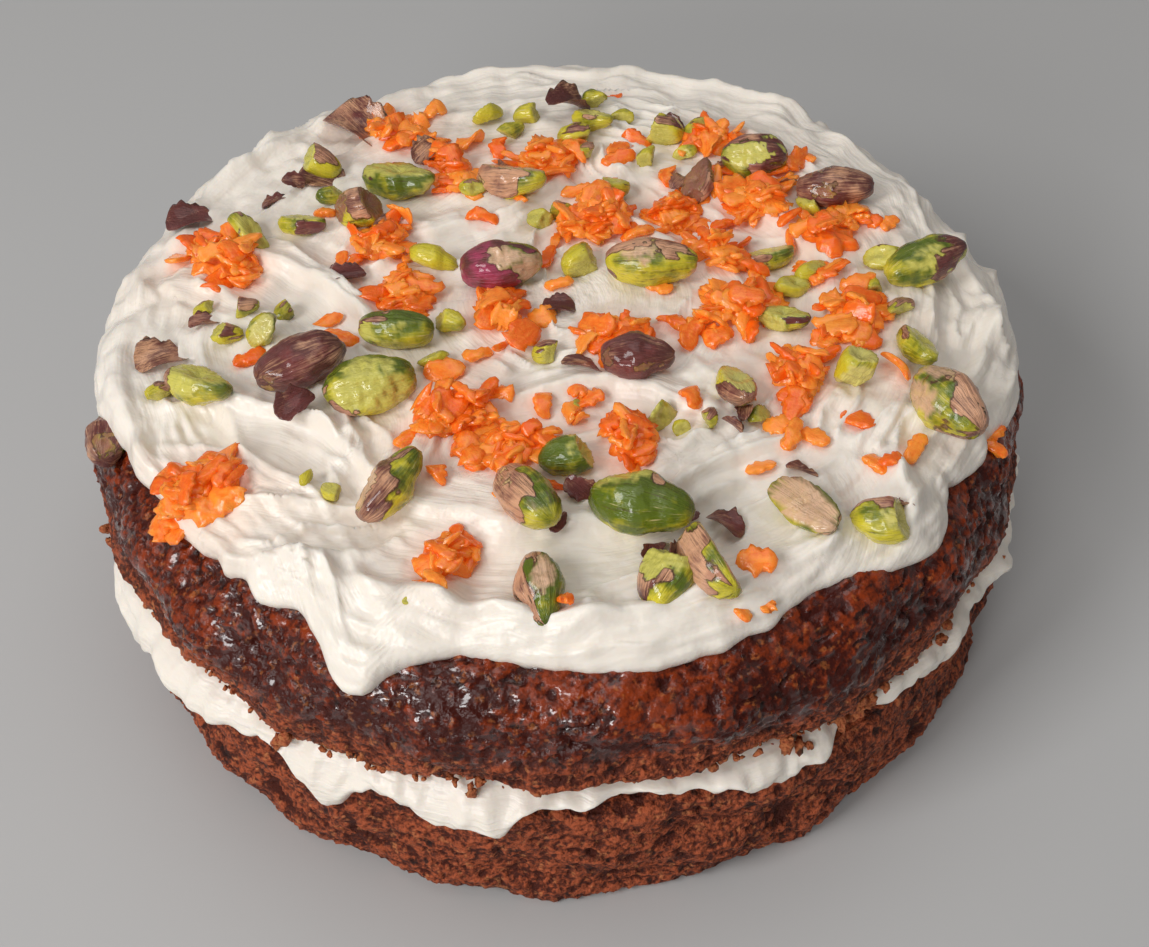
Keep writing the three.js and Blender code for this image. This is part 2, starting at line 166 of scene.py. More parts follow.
# Larger crumbs torn from the upper sponge: where (degrees), radius, height, size (mm)
CRUMB_LUMPS = np.array([
    [-57.5, 89.4, 33.2, 3.4], [-55.5, 89.2, 31.6, 3.8], [-53.5, 89.4, 33.6, 3.2],
    [-52, 88.8, 31.0, 2.8], [-55, 89.6, 35.0, 3.6], [-63.5, 90.2, 34.0, 2.8],
    [-65, 90.0, 35.4, 3.0], [-62.3, 90.4, 32.4, 2.2], [-41, 90.6, 34.0, 3.0],
    [-39.5, 90.4, 35.6, 2.6], [-123, 91.6, 33.4, 2.4], [-122, 91.2, 35.0, 3.0],
    [-160, 92.2, 39, 2.6], [-158.5, 91.8, 37.2, 2.0], [-25, 92.6, 31.5, 2.4],
    [-48, 90.2, 26.5, 2.0], [-74, 90.0, 37.0, 2.6], [-93, 90.2, 36.6, 2.4],
    [-100, 90.4, 35.0, 2.2], [20, 90.5, 34, 3], [100, 90.5, 34.5, 3],
])

# Pistachios: form, slot, x, y (mm), heading, pitch, roll (degrees), length (mm), cut, share of
# skin, side where the skin sits, yellow in the flesh, purple in the skin
PISTACHIOS = [
    ("whole", "green", 14, -55, -21, 4, 10, 18.5, "none", 0.10, "back", 0.25, 0.2),
    ("whole", "pink", -5, -53, -58, 10, 20, 17, "none", 0.42, "left", 0.75, 0.15),
    ("whole", "pink", -3, -70, -82, -6, 30, 14, "none", 0.32, "left", 0.15, 0.1),
    ("end", "green", 18, -67, 53, 24, 0, 10.5, "end", 0.22, "left", 0.5, 0.45),
    ("half", "pink", 25, -66, -68, 6, 10, 16, "slim", 0.34, "left", 0.95, 0.05),
    ("end", "pink", -28, -49, 48, 20, -30, 16, "none", 0.50, "left", 0.8, 0.45),
    ("end", "green", 3, -43, 0, 10, 20, 9.5, "end", 0.05, "right", 0.2, 0.9),
    ("half", "pink", 41, -55, -51, 6, 26, 15, "up", 0.08, "front", 0.55, 0.2),
    ("end", "pale", 55, -57, -13, 8, 30, 9.5, "end", 0.30, "back", 1.0, 0.5),
    ("whole", "pink", 69, -33, -64, 6, 15, 18, "none", 0.44, "right", 0.55, 0.2),
    ("half", "pale", 32, -28, -76, 22, 40, 13, "side", 0.40, "front", 0.85, 0.6),
    ("end", "pale", 54, -24, 0, 60, 0, 9, "end", -0.40, "front", 1.1, 0.3),
    ("half", "green", 66, -18, -73, 14, 20, 12, "side", 0.15, "back", 0.8, 0.3),
    ("whole", "dark", 15, -20, -5, 6, 20, 14, "none", 1.50, "up", 0.3, 0.8),
    ("whole", "green", -33, -25, 14, 4, 12, 17, "none", 0.26, "front", 0.50, 0.1),
    ("whole", "dark", -46, -19, 24, 8, 0, 17.5, "none", 1.30, "up", 0.3, 0.75),
    ("half", "green", -64, -22, -29, 10, 30, 14.5, "side", 0.10, "left", 0.6, 0.3),
    ("end", "pale", -54, -9, 0, 50, 0, 8.5, "none", 0.02, "up", 0.85, 0.3),
    ("whole", "dark", -83, -24, 96, -8, 30, 15, "none", 0.62, "left", 0.7, 0.7),
    ("whole", "green", -29, -11, -6, 0, 0, 14.5, "none", 0.08, "left", 0.4, 0.3),
    ("whole", "pink", -10, 6, -2, 8, -20, 16.5, "none", 0.62, "left", 0.3, 1.5),
    ("half", "pink", 19, 6, -6, 3, 10, 18.5, "none", 0.45, "back", 0.85, 0.15),
    ("half", "pale", -50, 24, -12, 6, 24, 10.5, "side", 0.25, "front", 0.75, 0.8),
    ("end", "dark", -38, 26, -13, 20, 0, 10, "end", 0.55, "up", 0.8, 0.35),
    ("half", "green", -31, 36, -21, 8, 36, 17, "side", 0.30, "back", 0.3, 0.9),
    ("whole", "pink", -8, 34, -28, 16, 20, 16.5, "side", 0.50, "left", 0.95, 0.1),
    ("half", "dark", 30, 33, 62, 30, 30, 10.5, "side", 0.85, "up", 0.5, 0.4),
    ("whole", "green", 42, 40, -3, 6, 0, 14, "none", 0.35, "up", 0.4, 0.7),
    ("whole", "dark", 57, 29, -5, 4, 10, 16, "none", 1.40, "up", 0.4, 0.55),
    ("half", "pale", 42, 12, 12, 8, 24, 11, "side", 0.20, "left", 0.8, 0.2),
    ("half", "green", 43, -8, -25, 12, 40, 10.5, "side", 0.30, "up", 0.35, 0.9),
    ("whole", "green", 71, 5, 22, 6, 0, 17.5, "none", 0.28, "right", 0.55, 0.7),
    ("half", "pale", 9, 56, -28, 10, 30, 10, "side", 0.10, "up", 0.9, 0.2),
]
# Direction of each side of a nut, where its skin sits
SIDES = {"up": (0, -0.2, 1), "left": (-1, -0.1, 0.3), "right": (1, -0.1, 0.3),
         "front": (0, -1, 0.2), "back": (0, 1, 0.4)}
# Cutting plane of each cut: its normal and its distance in half lengths, 9 for no cut
CUTS = {"none": (0, 0, 1, 9), "up": (0.05, 0.1, 0.99, 0.1), "side": (0.06, 0.8, 0.6, 0.24),
        "end": (0.93, 0.22, 0.28, 0.34), "slim": (0.05, 0.98, 0.2, 0.16)}

# Heaps of grated carrot: x, y, width, depth (mm)
CARROT_HEAPS = np.array([
    [-60, -46, 19, 14], [-65, 14, 17, 14], [-34, 16, 12, 11], [-32, 56, 14, 12], [-20, 41, 10, 14],
    [-1, 44, 15, 11], [8, 23, 18, 12], [23, 26, 11, 14], [41, 28, 14, 12], [35, 49, 11, 10],
    [55, 15, 14, 13], [30, 13, 14, 10], [35, -4, 13, 15], [57, -9, 13, 12], [12, -10, 10, 10],
    [-27, 3, 11, 9], [-19, -30, 17, 18], [12, -38, 8, 14], [44, -22, 13, 13], [-18, -62, 10, 10],
    [-6, -38, 11, 10], [-10, -6, 10, 11],
])

# Small pieces on the frosting: x, y, heading (degrees), length (mm)
NUT_CHIPS = np.array([
    [18, -32, 5, 8], [-1, -16, 0, 6], [-59, -2, 0, 6.5], [-66, 0, 30, 5], [-51, -1, 60, 5],
    [-62, -8, 7, 7], [-22, -17, 0, 7], [-20, -7, -41, 8], [6, 9, 35, 9], [-60, 20, -39, 10],
    [-49, 43, -17, 10], [1, 26, 16, 5.5], [12, 33, 0, 7], [46, 2, 21, 7.5], [64, 8, 4, 8],
    [65, -6, 40, 6], [6, 51, 0, 8], [-4, 60, 0, 7.5], [-9, 54, 30, 6.5], [23, 51, 0, 9],
    [-23, 11, -12, 9], [-43, -44, 80, 4], [-38, -48, -50, 5], [-20, -44, 10, 2.5], [4, -28, 30, 3],
    [-24, -71, 40, 2.2], [27, -34, 60, 5], [28, 45, 20, 5], [16, 58, 10, 6], [20, 42, 50, 6],
    [-14, 60, 20, 7], [9, 63, -30, 7], [31, 53, 40, 6], [-2, 22, -20, 6], [36, -33, 30, 5],
    [22, -35, 80, 5], [50, 6, 30, 7], [-16, 33, 10, 5], [52, 26, -40, 6], [-72, -20, 30, 6],
    [-45, 33, 20, 6], [61, 0, 60, 5], [8, 45, 10, 5],
])
CARROT_CHIPS = np.array([
    [14, 43, 20, 8], [51, 41, 50, 8], [-1, 12, 70, 8], [25, -12, 80, 9], [41, -38, 60, 8],
    [-41, -10, 10, 9], [-56, -14, 0, 7], [24, -29, -50, 6], [35, -44, 20, 6], [32, -66, 0, 7],
    [53, -34, -40, 7], [62, -41, 60, 8], [55, -44, -55, 6], [78, -33, -20, 7], [29, -73, -70, 5],
    [4, -25, 0, 4], [-14, -16, 0, 6], [-14, 24, 5, 7], [1, 3, 0, 6], [1, -73, 0, 3],
    [33, -71.5, 45, 3], [-68, 22, 40, 6], [62, 22, 0, 4], [4, -31, 70, 3], [27, -8, 60, 8],
    [22, -9, -30, 7], [30, -12, 10, 7], [42, -31, 70, 8], [39, -35, 20, 6], [45, -38, -40, 6],
    [14, 47, 50, 7], [53, 44, -60, 7], [58, 1, 20, 8], [39, 8, -20, 7], [10, -19, -70, 6],
    [62, -22, -60, 8], [-40, -9, -30, 8], [-43, -4, 20, 7], [-20, -20, 10, 8], [-30, 25, -40, 7],
    [-17, 51, 30, 7], [-36, 66, 60, 6], [6, -27, 15, 6], [3, -30, 60, 5], [67, 20, 40, 5],
    [79, -30, 30, 5], [14, 69, 40, 5], [24, 37, 70, 7], [-2, -6, 40, 6], [-20, -45, 80, 4],
    [-46, 28, 0, 5], [34, 22, 30, 6], [57, -45, 30, 5], [-2, -28, 75, 6], [50, -18, 60, 6],
    [18, 50, -30, 7], [5, 33, 20, 7], [28, 33, -50, 7], [46, 38, 10, 7], [-11, 48, 70, 7],
    [17, 18, 30, 7], [-25, 62, 20, 6], [47, 21, 50, 7], [20, 2, -20, 6], [-38, 20, 60, 6],
])
SKIN_FLAKES = np.array([
    [-46, -29, 30, 8], [-73, -12, 30, 10], [-42, 59, -51, 17], [-40, 7, 10, 8], [-74, 30, 0, 10],
    [-57, 34, 16, 6], [42, -45, -26, 6], [4, 61, 46, 12], [4, -50, -25, 6], [5, -20, -15, 8],
    [22, -53, 70, 5], [28, -56, -20, 7], [-26, 47, 50, 8], [26, 55, -40, 7], [-48, 41, -20, 10],
    [-66, -4, 20, 6], [31, -36, -40, 5], [16, -60, 80, 5], [0, -56, 60, 5], [20, -63, 70, 6],
    [33, -33, 80, 5], [1, -3, 20, 7], [26, 35, 60, 6], [-53, 37, 10, 5], [48, 34, 30, 5],
    [66, 10, -20, 6], [-33, 22, 40, 6], [10, 30, -30, 5], [-68, -16, 50, 5], [58, -54, 10, 4],
    [-10, 40, 70, 7], [36, 40, 20, 5],
])


def measure(name, description, value):
    """A length property with its default, in metres."""
    return FloatProperty(name=name, description=description, default=value, unit="LENGTH")


def colour(name, description, value):
    """A colour property with its default, in linear light."""
    return FloatVectorProperty(name=name, description=description, default=value, size=3,
                               subtype="COLOR", min=0, max=1)


class CakeSizes(bpy.types.PropertyGroup):
    """Sizes of the cake, in metres."""

    radius: measure("Radius", "Radius of both sponges", 0.09)
    lower_top: measure("Lower top", "Top of the lower sponge", 0.0285)
    upper_bottom: measure("Upper bottom", "Underside of the upper sponge", 0.0355)
    upper_top: measure("Upper top", "Crown of the upper sponge", 0.061)
    frosting: measure("Frosting", "Mean depth of the frosting", 0.0052)
    crumb: measure("Crumb", "Size of the sponge's crumb", 0.0020)
    heap: measure("Heap", "Height of a heap of carrot", 0.0046)
    shred: measure("Shred", "Mean length of a carrot shred", 0.0062)
    crumbs: IntProperty(name="Crumbs", description="Loose crumbs round the sponges",
                        default=600, min=0)


class CakeColours(bpy.types.PropertyGroup):
    """Colours of the cake's materials."""

    # The dark and light crumb are mixed partly by relief, which paints shade into the pits and
    # light onto the bumps, and partly by noise for the crumb's own tone
    crumb_dark: colour("Crumb, dark", "Shaded crumb of the sponges", (0.075, 0.013, 0.006))
    crumb_light: colour("Crumb, light", "Open crumb of the sponges", (0.470, 0.104, 0.038))
    # The dark and light crust are mixed partly by relief: painted shade in the crust's pits and
    # painted light on its bumps
    crust_dark: colour("Crust, dark", "Deep parts of the sticky crust", (0.048, 0.006, 0.003))
    crust_light: colour("Crust, light", "Amber parts of the sticky crust", (0.250, 0.034, 0.006))
    cream: colour("Cream", "The frosting and the filling", (0.900, 0.828, 0.738))
    stain: colour("Stain", "Cream coloured by carrot juice", (0.880, 0.560, 0.390))
    flesh_green: colour("Nut, green", "Skinned kernel, green side", (0.105, 0.150, 0.006))
    flesh_yellow: colour("Nut, yellow", "Skinned kernel, yellow side", (0.690, 0.580, 0.030))
    flesh_pale: colour("Nut, pale", "Broken face of a kernel", (0.690, 0.620, 0.130))
    skin_pink: colour("Skin, pink", "Papery skin, light", (0.780, 0.415, 0.240))
    skin_dark: colour("Skin, dark", "Papery skin, dark", (0.150, 0.035, 0.030))
    carrot_deep: colour("Carrot, deep", "Thick wet carrot", (0.820, 0.124, 0.004))
    carrot_light: colour("Carrot, light", "Thin edges of carrot", (0.970, 0.305, 0.036))
    floor: colour("Floor", "The plain floor", (0.500, 0.495, 0.490))


def smooth(low, high, x):
    """Smooth step from 0 at low to 1 at high."""
    t = np.clip((x - low) / (high - low), 0, 1)
    return t * t * (3 - 2 * t)


def bell(x):
    """Gaussian bump of height 1."""
    return np.exp(-x * x)


def between(a, b):
    """Difference of two angles in degrees, from -180 to 180."""
    return (a - b + 180) % 360 - 180


def lattice(points, seed):
    """Whole-number cell of each point, its place in the cell, and a hash of any cell."""
    rng = np.random.default_rng(seed)
    order = rng.permutation(256)
    flat = np.asarray(points, float).reshape(-1, 3)
    cell = np.floor(flat).astype(int)

    def key(where):
        return order[(order[(order[where[:, 0] & 255] + where[:, 1]) & 255] + where[:, 2]) & 255]

    return rng, flat, cell, key


def noise(points, seed=0):
    """Gradient noise from about -1 to 1: a random slope at each lattice corner, blended."""
    rng, flat, cell, key = lattice(points, seed)
    slopes = rng.normal(size=(256, 3))
    slopes /= np.linalg.norm(slopes, axis=1, keepdims=True)
    part = flat - cell
    ease = part ** 3 * (part * (part * 6 - 15) + 10)
    total = np.zeros(len(flat))
    for corner in np.ndindex(2, 2, 2):
        weight = np.prod(np.where(corner, ease, 1 - ease), axis=1)
        total += weight * ((part - corner) * slopes[key(cell + corner)]).sum(1)
    return 1.5 * total.reshape(points.shape[:-1])


def layers(points, count, seed=0):
    """Noise summed over octaves, each twice as fine and half as strong."""
    return sum(noise(points * 2.03 ** i, seed + i) * 0.5 ** i for i in range(count))


def cells(points, seed=0):
    """Distance to the nearest of one random spot in each lattice cell."""
    rng, flat, cell, key = lattice(points, seed)
    spots = rng.random((256, 3))
    nearest = np.full(len(flat), 9.0)
    for step in np.ndindex(3, 3, 3):
        where = cell + step - 1
        nearest = np.minimum(nearest, ((where + spots[key(where)] - flat) ** 2).sum(1))
    return np.sqrt(nearest).reshape(points.shape[:-1])


def polar(radius, angle, z):
    """Points from cylindrical coordinates, in mm."""
    return np.stack(np.broadcast_arrays(radius * np.cos(angle), radius * np.sin(angle), z), -1)


def each(values, points):
    """One value for each piece, spread over the piece's grid of points."""
    return np.broadcast_to(values[:, None, None], points.shape[:3])


def closed_mesh(name, grids, attributes):
    """One mesh of closed skins. grids is one skin (rows, columns, 3) or many (pieces, rows,
    columns, 3), in mm: the columns run round and meet, and the first and last row of each
    piece shrink to one point."""
    rows, columns = grids.shape[-3:-1]
    pieces = grids.size // (3 * rows * columns)

    def per_vertex(values):
        values = values.reshape(pieces, rows, columns, -1)
        ends = values[:, [0, -1]].mean(axis=2)
        body = values[:, 1:-1].reshape(pieces, (rows - 2) * columns, -1)
        return np.concatenate([ends, body], axis=1).reshape(-1, values.shape[-1])

    places = per_vertex(grids) * MM
    ring = np.arange(columns)
    after = np.roll(ring, -1)
    starts = 2 + np.arange(rows - 2)[:, None] * columns
    below, above = starts[:-1], starts[1:]
    quads = np.stack([below + ring, below + after, above + after, above + ring], -1).reshape(-1, 4)
    fans = np.concatenate([
        np.stack([0 * ring, 2 + after, 2 + ring], -1),
        np.stack([0 * ring + 1, starts[-1] + ring, starts[-1] + after], -1)])
    offsets = (np.arange(pieces) * (2 + (rows - 2) * columns))[:, None, None]
    quads = (quads + offsets).reshape(-1, 4)
    fans = (fans + offsets).reshape(-1, 3)
    corners = np.concatenate([quads[:, [0, 1, 2]], quads[:, [0, 2, 3]], fans])
    a, b, c = (places[corners[:, i]] for i in range(3))
    if np.einsum("ij,ij->", a, np.cross(b, c)) < 0:
        quads, fans = quads[:, ::-1], fans[:, ::-1]
    mesh = bpy.data.meshes.new(name)
    mesh.vertices.add(len(places))
    mesh.vertices.foreach_set("co", places.ravel())
    loops = np.concatenate([quads.ravel(), fans.ravel()])
    mesh.loops.add(len(loops))
    mesh.loops.foreach_set("vertex_index", loops)
    mesh.polygons.add(len(quads) + len(fans))
    begin = np.concatenate([np.arange(len(quads)) * 4, len(quads) * 4 + np.arange(len(fans)) * 3])
    mesh.polygons.foreach_set("loop_start", begin)
    mesh.polygons.foreach_set("use_smooth", np.ones(len(begin), bool))
    mesh.update(calc_edges=True)
    for key, values in attributes.items():
        values = per_vertex(values)
        kind, field = ("FLOAT", "value") if values.shape[1] == 1 else ("FLOAT_VECTOR", "vector")
        mesh.attributes.new(key, kind, "POINT").data.foreach_set(field, values.ravel())
    return mesh


def place(name, grids, attributes, material, slot, nodes=()):
    """Puts closed skins in the scene as a piece that rides with the cake and stands for
    nodes."""
    mesh = closed_mesh(name, grids, attributes)
    mesh.materials.append(material)
    piece = bpy.data.objects.new(name, mesh)
    bpy.context.scene.collection.objects.link(piece)
    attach(piece, "root")
    if nodes:
        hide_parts(*nodes)
    bpy.context.view_layer.update()


class Wire:
    """A socket in a finish's node tree. Arithmetic on it adds Math nodes."""

    def __init__(self, finish, socket):
        self.finish = finish
        self.socket = socket

    def math(self, operation, *values):
        return self.finish.make("ShaderNodeMath", {"operation": operation}, dict(enumerate(values)))

    def __add__(self, other):
        return self.math("ADD", self, other)

    def __sub__(self, other):
        return self.math("SUBTRACT", self, other)

    def __rsub__(self, other):
        return self.math("SUBTRACT", other, self)

    def __mul__(self, other):
        return self.math("MULTIPLY", self, other)

    __radd__ = __add__
    __rmul__ = __mul__

    def least(self, other):
        return self.math("MINIMUM", self, other)

    def step(self, low, high):
        """Smooth step from 0 at low to 1 at high."""
        return self.finish.make("ShaderNodeMapRange", {"interpolation_type": "SMOOTHSTEP"},
                                {"Value": self, "From Min": low, "From Max": high})


class Finish:
    """A procedural material: one Principled shader, with its constants set on its sockets."""

    def __init__(self, name, **constants):
        self.material = bpy.data.materials.new(name)
        self.material.use_nodes = True
        self.tree = self.material.node_tree
        self.shader = self.tree.nodes["Principled BSDF"]
        for socket, value in constants.items():
            self.socket(socket).default_value = value

    def socket(self, name):
        """The shader's input for a name in lower case."""
        return self.shader.inputs[name.replace("_", " ").title().replace("Ior", "IOR")]

    def make(self, kind, settings, sockets, output=0):
        """Adds a node: its settings first, then the values or links of its sockets."""
        node = self.tree.nodes.new(kind)
        for key, value in settings.items():
            setattr(node, key, value)
        for key, value in sockets.items():
            if isinstance(value, Wire):
                self.tree.links.new(value.socket, node.inputs[key])
            else:
                node.inputs[key].default_value = value
        return Wire(self, node.outputs[output])

    def place(self):
        """Object coordinates, in metres."""
        return self.make("ShaderNodeTexCoord", {}, {}, "Object")

    def attribute(self, name, output="Fac"):
        """One of the mesh's own attributes."""
        return self.make("ShaderNodeAttribute", {"attribute_name": name}, {}, output)

    def noise(self, where, size, detail=2.0, roughness=0.5, distortion=0.0):
        """Noise of a feature size given in the units of where."""
        sockets = {"Vector": where, "Scale": 1 / size, "Detail": detail, "Roughness": roughness,
                   "Distortion": distortion}
        return self.make("ShaderNodeTexNoise", {}, sockets, "Fac")

    def cells(self, where, size):
        """Distance to the nearest cell point."""
        sockets = {"Vector": where, "Scale": 1 / size}
        return self.make("ShaderNodeTexVoronoi", {}, sockets, "Distance")

    def stretch(self, where, scale):
        """Coordinates scaled along each axis."""
        return self.make("ShaderNodeMapping", {}, {"Vector": where, "Scale": scale}, "Vector")

    def mix(self, share, a, b):
        """Colour a where share is 0 and colour b where it is 1."""
        a, b = (x if isinstance(x, Wire) else (*x, 1) for x in (a, b))
        return self.make("ShaderNodeMix", {"data_type": "RGBA"}, {0: share, 6: a, 7: b}, 2)

    def bump(self, height, distance, strength=1.0, under=None):
        """Normal tilted by a height map; distance in metres."""
        sockets = {"Height": height, "Distance": distance, "Strength": strength}
        if under:
            sockets["Normal"] = under
        return self.make("ShaderNodeBump", {}, sockets)

    def feed(self, **links):
        """Links wires to the shader's sockets and returns the material."""
        for socket, wire in links.items():
            self.tree.links.new(wire.socket, self.socket(socket))
        return self.material


def sizes():
    return bpy.context.scene.cake_sizes


def colours():
    return bpy.context.scene.cake_colours


def in_mm(name):
    """A size property in millimetres."""
    return getattr(sizes(), name) / MM


def crag(angle, z):
    """Low crags of a baked side: three waves of unlike lengths round the cake and up it."""
    return 0.55 * (np.sin(11 * angle + 0.31 * z) + np.sin(23 * angle - 0.17 * z + 1)
                   + 0.8 * np.sin(5 * angle + 0.5 * z + 2))


def crust_height(radius):
    """Upper crust over a radius: a low parabola, less a shoulder that rounds like a
    fourth-power ellipse."""
    inward = np.clip(1 - (in_mm("radius") - radius) / SHOULDER_WIDTH, 0, 1)
    crown = in_mm("upper_top") - CROWN_FALL * (radius / in_mm("radius")) ** 2
    return crown - SHOULDER_DROP * (1 - np.sqrt(1 - inward ** 4))


def crust_path():
    """Radius, height and arc length along the crust from the middle out."""
    radius = in_mm("radius") * np.sin(np.linspace(0, math.pi / 2, 800))
    z = crust_height(radius)
    return radius, z, np.concatenate([[0], np.cumsum(np.hypot(np.diff(radius), np.diff(z)))])


def backness(angle):
    """0 at the front of the cake, 1 at its sides and back."""
    return smooth(-0.55, -0.05, np.sin(angle))


def frosting_reach(angle):
    """Arc length that the frosting reaches: the edge's table, averaged over a short turn, with
    fine scallops of noise all round and broad ones at the sides and back."""
    rim = polar(EDGE_RING, angle, 0.0)
    scallops = 0.30 * noise(rim / 3.4, 3) + 0.12 * noise(rim / 1.7, 4)
    scallops = scallops + 1.7 * backness(angle) * noise(rim / 14, 5)
    where = np.degrees(angle)
    taps = [np.interp(where + tap, *EDGE.T, period=360) for tap in EDGE_TAPS]
    return sum(taps) / len(taps) + scallops


def knife_strokes(x, y):
    """Relief of the palette knife, and the comb that it leaves. Across each arc, which wanders
    by noise, the trough is a flat-bottomed ellipse with a lip of varying height outside it and
    a low one inside; along it the stroke fades as a flat-topped Gaussian.
    The comb holds the distance across and along the strongest stroke at each point, and how
    far it leads the next strongest."""
    shape = np.shape(x)
    relief = np.zeros(shape)
    best, second = np.full(shape, 0.12), np.zeros(shape)
    comb = np.stack([np.hypot(x, y), np.arctan2(y, x) * 40, np.zeros(shape)], -1)
    for i, (cx, cy, radius, middle, span, width, depth, lip) in enumerate(STROKES):
        layer = np.full(shape, i + 0.5)
        wander = 2.2 * noise(np.stack([x / 12, y / 12, layer], -1), 7)
        across = (np.hypot(x - cx, y - cy) - radius + wander) / width
        turn = between(np.degrees(np.arctan2(y - cy, x - cx)), middle)
        weight = bell((turn / span) ** 2)
        trough = -depth * np.clip(1 - across ** 2, 0, 1) ** 0.7
        vary = 0.75 + 0.6 * noise(np.stack([turn * radius / 900, 0 * turn, layer], -1), 8)
        outer = lip * vary * bell((across - 1.18) / np.where(across < 1.18, 0.2, 0.42))
        inner = 0.35 * lip * bell((across + 1.1) / 0.16)
        relief += 1.25 * weight * (trough + outer + inner)
        power = weight * bell(across / 1.6)
        second = np.maximum(second, np.minimum(power, best))
        stronger = power > best
        best = np.maximum(best, power)
        here = np.stack([across * width, np.radians(turn) * radius, np.full(shape, 31.0 * i)], -1)
        comb = np.where(stronger[..., None], here, comb)
    return relief, comb, smooth(0.05, 0.5, 1 - second / best)


def frosting_thickness(angle, share, reach, radius):
    """Depth of frosting and its comb: mean depth, strokes, soft lumps, ridges and sharp crests
    along the comb, smears round the front and lumps round the back, times a rounded rim of
    wandering width."""
    back = backness(angle)
    x, y = radius * np.cos(angle), radius * np.sin(angle)
    spot = np.stack([x, y, np.zeros(np.shape(x))], -1)
    wide = 10.5 - 2.5 * back + 3.0 * noise(polar(EDGE_RING, angle, 0.0) / 11, 9)
    rim = np.clip(1 - reach * (1 - share) / wide, 0, 1)
    relief, comb, lead = knife_strokes(x, y)
    drag = np.stack([comb[..., 0] / 1.9, comb[..., 1] / 15, comb[..., 2]], -1)
    ridges = lead * (0.32 * noise(drag, 11) + 0.12 * noise(drag * [2.3, 1.7, 1], 12))
    bent = drag * [0.36, 0.55, 1] + 0.25 * noise(spot / 9, 17)[..., None]
    crest = np.clip(1 - np.abs(noise(bent, 18)), 0, 1) ** 6
    patchy = smooth(-0.25, 0.45, noise(spot / 24, 19))
    ridges = ridges * (0.45 + 0.55 * patchy) + lead * patchy * (2.0 * crest - 0.45)
    ridges = ridges * smooth(2, 9, radius)
    lumps = 0.8 * layers(spot / 17, 2, 13) + 0.32 * noise(spot / 5, 16)
    band = np.stack(np.broadcast_arrays(share * reach / 2.4, angle * 5.5,
                                        0.7 * noise(spot / 6, 24)), -1)
    smears = noise(band, 25) + 0.6 * noise(band * [2.2, 1.9, 1], 26)
    smears = smooth(62, 72, radius) * (1 - 0.7 * back) * smears
    depth = in_mm("frosting") + (relief + lumps) * (1 - rim ** 4)
    depth = depth + (ridges + smears) * (1 - rim ** 12)
    depth = depth * (1 + 0.16 * noise(spot / 7, 20) + 0.05 * noise(spot / 2.8, 21))
    knobs = 1.2 * noise(spot / 9, 22) + 0.4 * noise(spot / 4, 23)
    depth = depth + back * smooth(58, 78, radius) * knobs
    return np.maximum(depth, LEAST_DEPTH) * np.sqrt(np.clip(1 - rim ** 2.4, 0, 1)), comb, lead


def frosting_top(x, y):
    """Height of the frosting over points of the plan."""
    x, y = np.asarray(x, float), np.asarray(y, float)
    radius, angle = np.hypot(x, y), np.arctan2(y, x)
    path_radius, _, path_length = crust_path()
    reach = frosting_reach(angle)
    share = np.minimum(np.interp(radius, path_radius, path_length) / reach, 1)
    thickness, _, _ = frosting_thickness(angle, share, reach, radius)
    return crust_height(np.minimum(radius, CRUST_LIMIT)) + thickness


def torn_drop(angle):
    """Drop of the upper sponge's bottom edge: a sum of Gaussian lobes round the cake."""
    where, wide, drop = TORN_LOBES.T
    return (drop * bell(between(np.degrees(angle)[..., None], where) / wide)).sum(-1)


def sponge_skin(profile, rows, columns, seed, crust, fringe):
    """A sponge turned about +Z. The profile's visible stretch is sampled evenly, and each
    point is pushed out by crags, crumb (bumps that peak at random spots, their places bent
    by noise), pits and holes. Where crust is 1 there are no holes, and creases run where
    noise crosses zero. fringe lowers the points of the bottom edge."""
    length = np.concatenate([[0], np.cumsum(np.hypot(*np.diff(profile, axis=0).T))])
    inner = np.linspace(0, 1, 5)[:-1]
    first, last = length[1], length[-2]
    along = np.concatenate([inner * first, np.linspace(first, last, rows - 8),
                            last + (inner + 0.25) * (length[-1] - last)])
    radius, z = (np.interp(along, length, profile[:, i])[:, None] for i in (0, 1))
    angle = np.linspace(0, TURN, columns, endpoint=False)[None, :]
    tangent = np.gradient(np.hstack([radius, z]), along, axis=0)
    out, up = tangent[:, 1:], -tangent[:, :1]
    spot = polar(radius, angle, z)
    shown = (smooth(first - 1, first + 2, along) * smooth(last + 1, last - 2, along))[:, None]
    hard = crust(z)
    grain = in_mm("crumb")
    warp = np.stack([noise(spot / 2.6, seed + 10 + i) for i in range(3)], -1)
    coarse = 0.6 - cells((spot + 0.9 * warp) / grain, seed)
    fine = 0.55 - cells((spot + 0.5 * warp) / (0.55 * grain), seed + 1)
    pits = smooth(0.3, 0.7, noise(spot / 2.8, seed + 2))
    pits = pits + 0.7 * smooth(0.3, 0.65, noise(spot / 1.6, seed + 3))
    holes = smooth(0.5, 0.7, noise(spot / 6.5, seed + 8))
    creases = smooth(0.07, 0.0, np.abs(noise(spot / [9, 9, 5], seed + 4)))
    creases = creases * smooth(0.2, 0.5, noise(spot / 14, seed + 5))
    rough = 0.95 * coarse + 0.55 * fine + 0.35 * layers(spot / 5, 2, seed + 6) - 0.75 * pits - holes
    sticky = 0.8 * coarse + 0.5 * fine + 0.5 * noise(spot / 11, seed + 6) - 0.7 * pits - creases
    relief = rough + (sticky - rough) * hard
    push = shown * (crag(angle, z) + relief)
    lower, torn = fringe(angle, z)
    points = polar(radius + out * push, angle, z + up * push - lower * shown)
    # relief also drives the finish's painted shade in the crumb's pits and painted light on its
    # bumps
    return points, {"relief": relief * shown, "torn": torn + 0 * push}


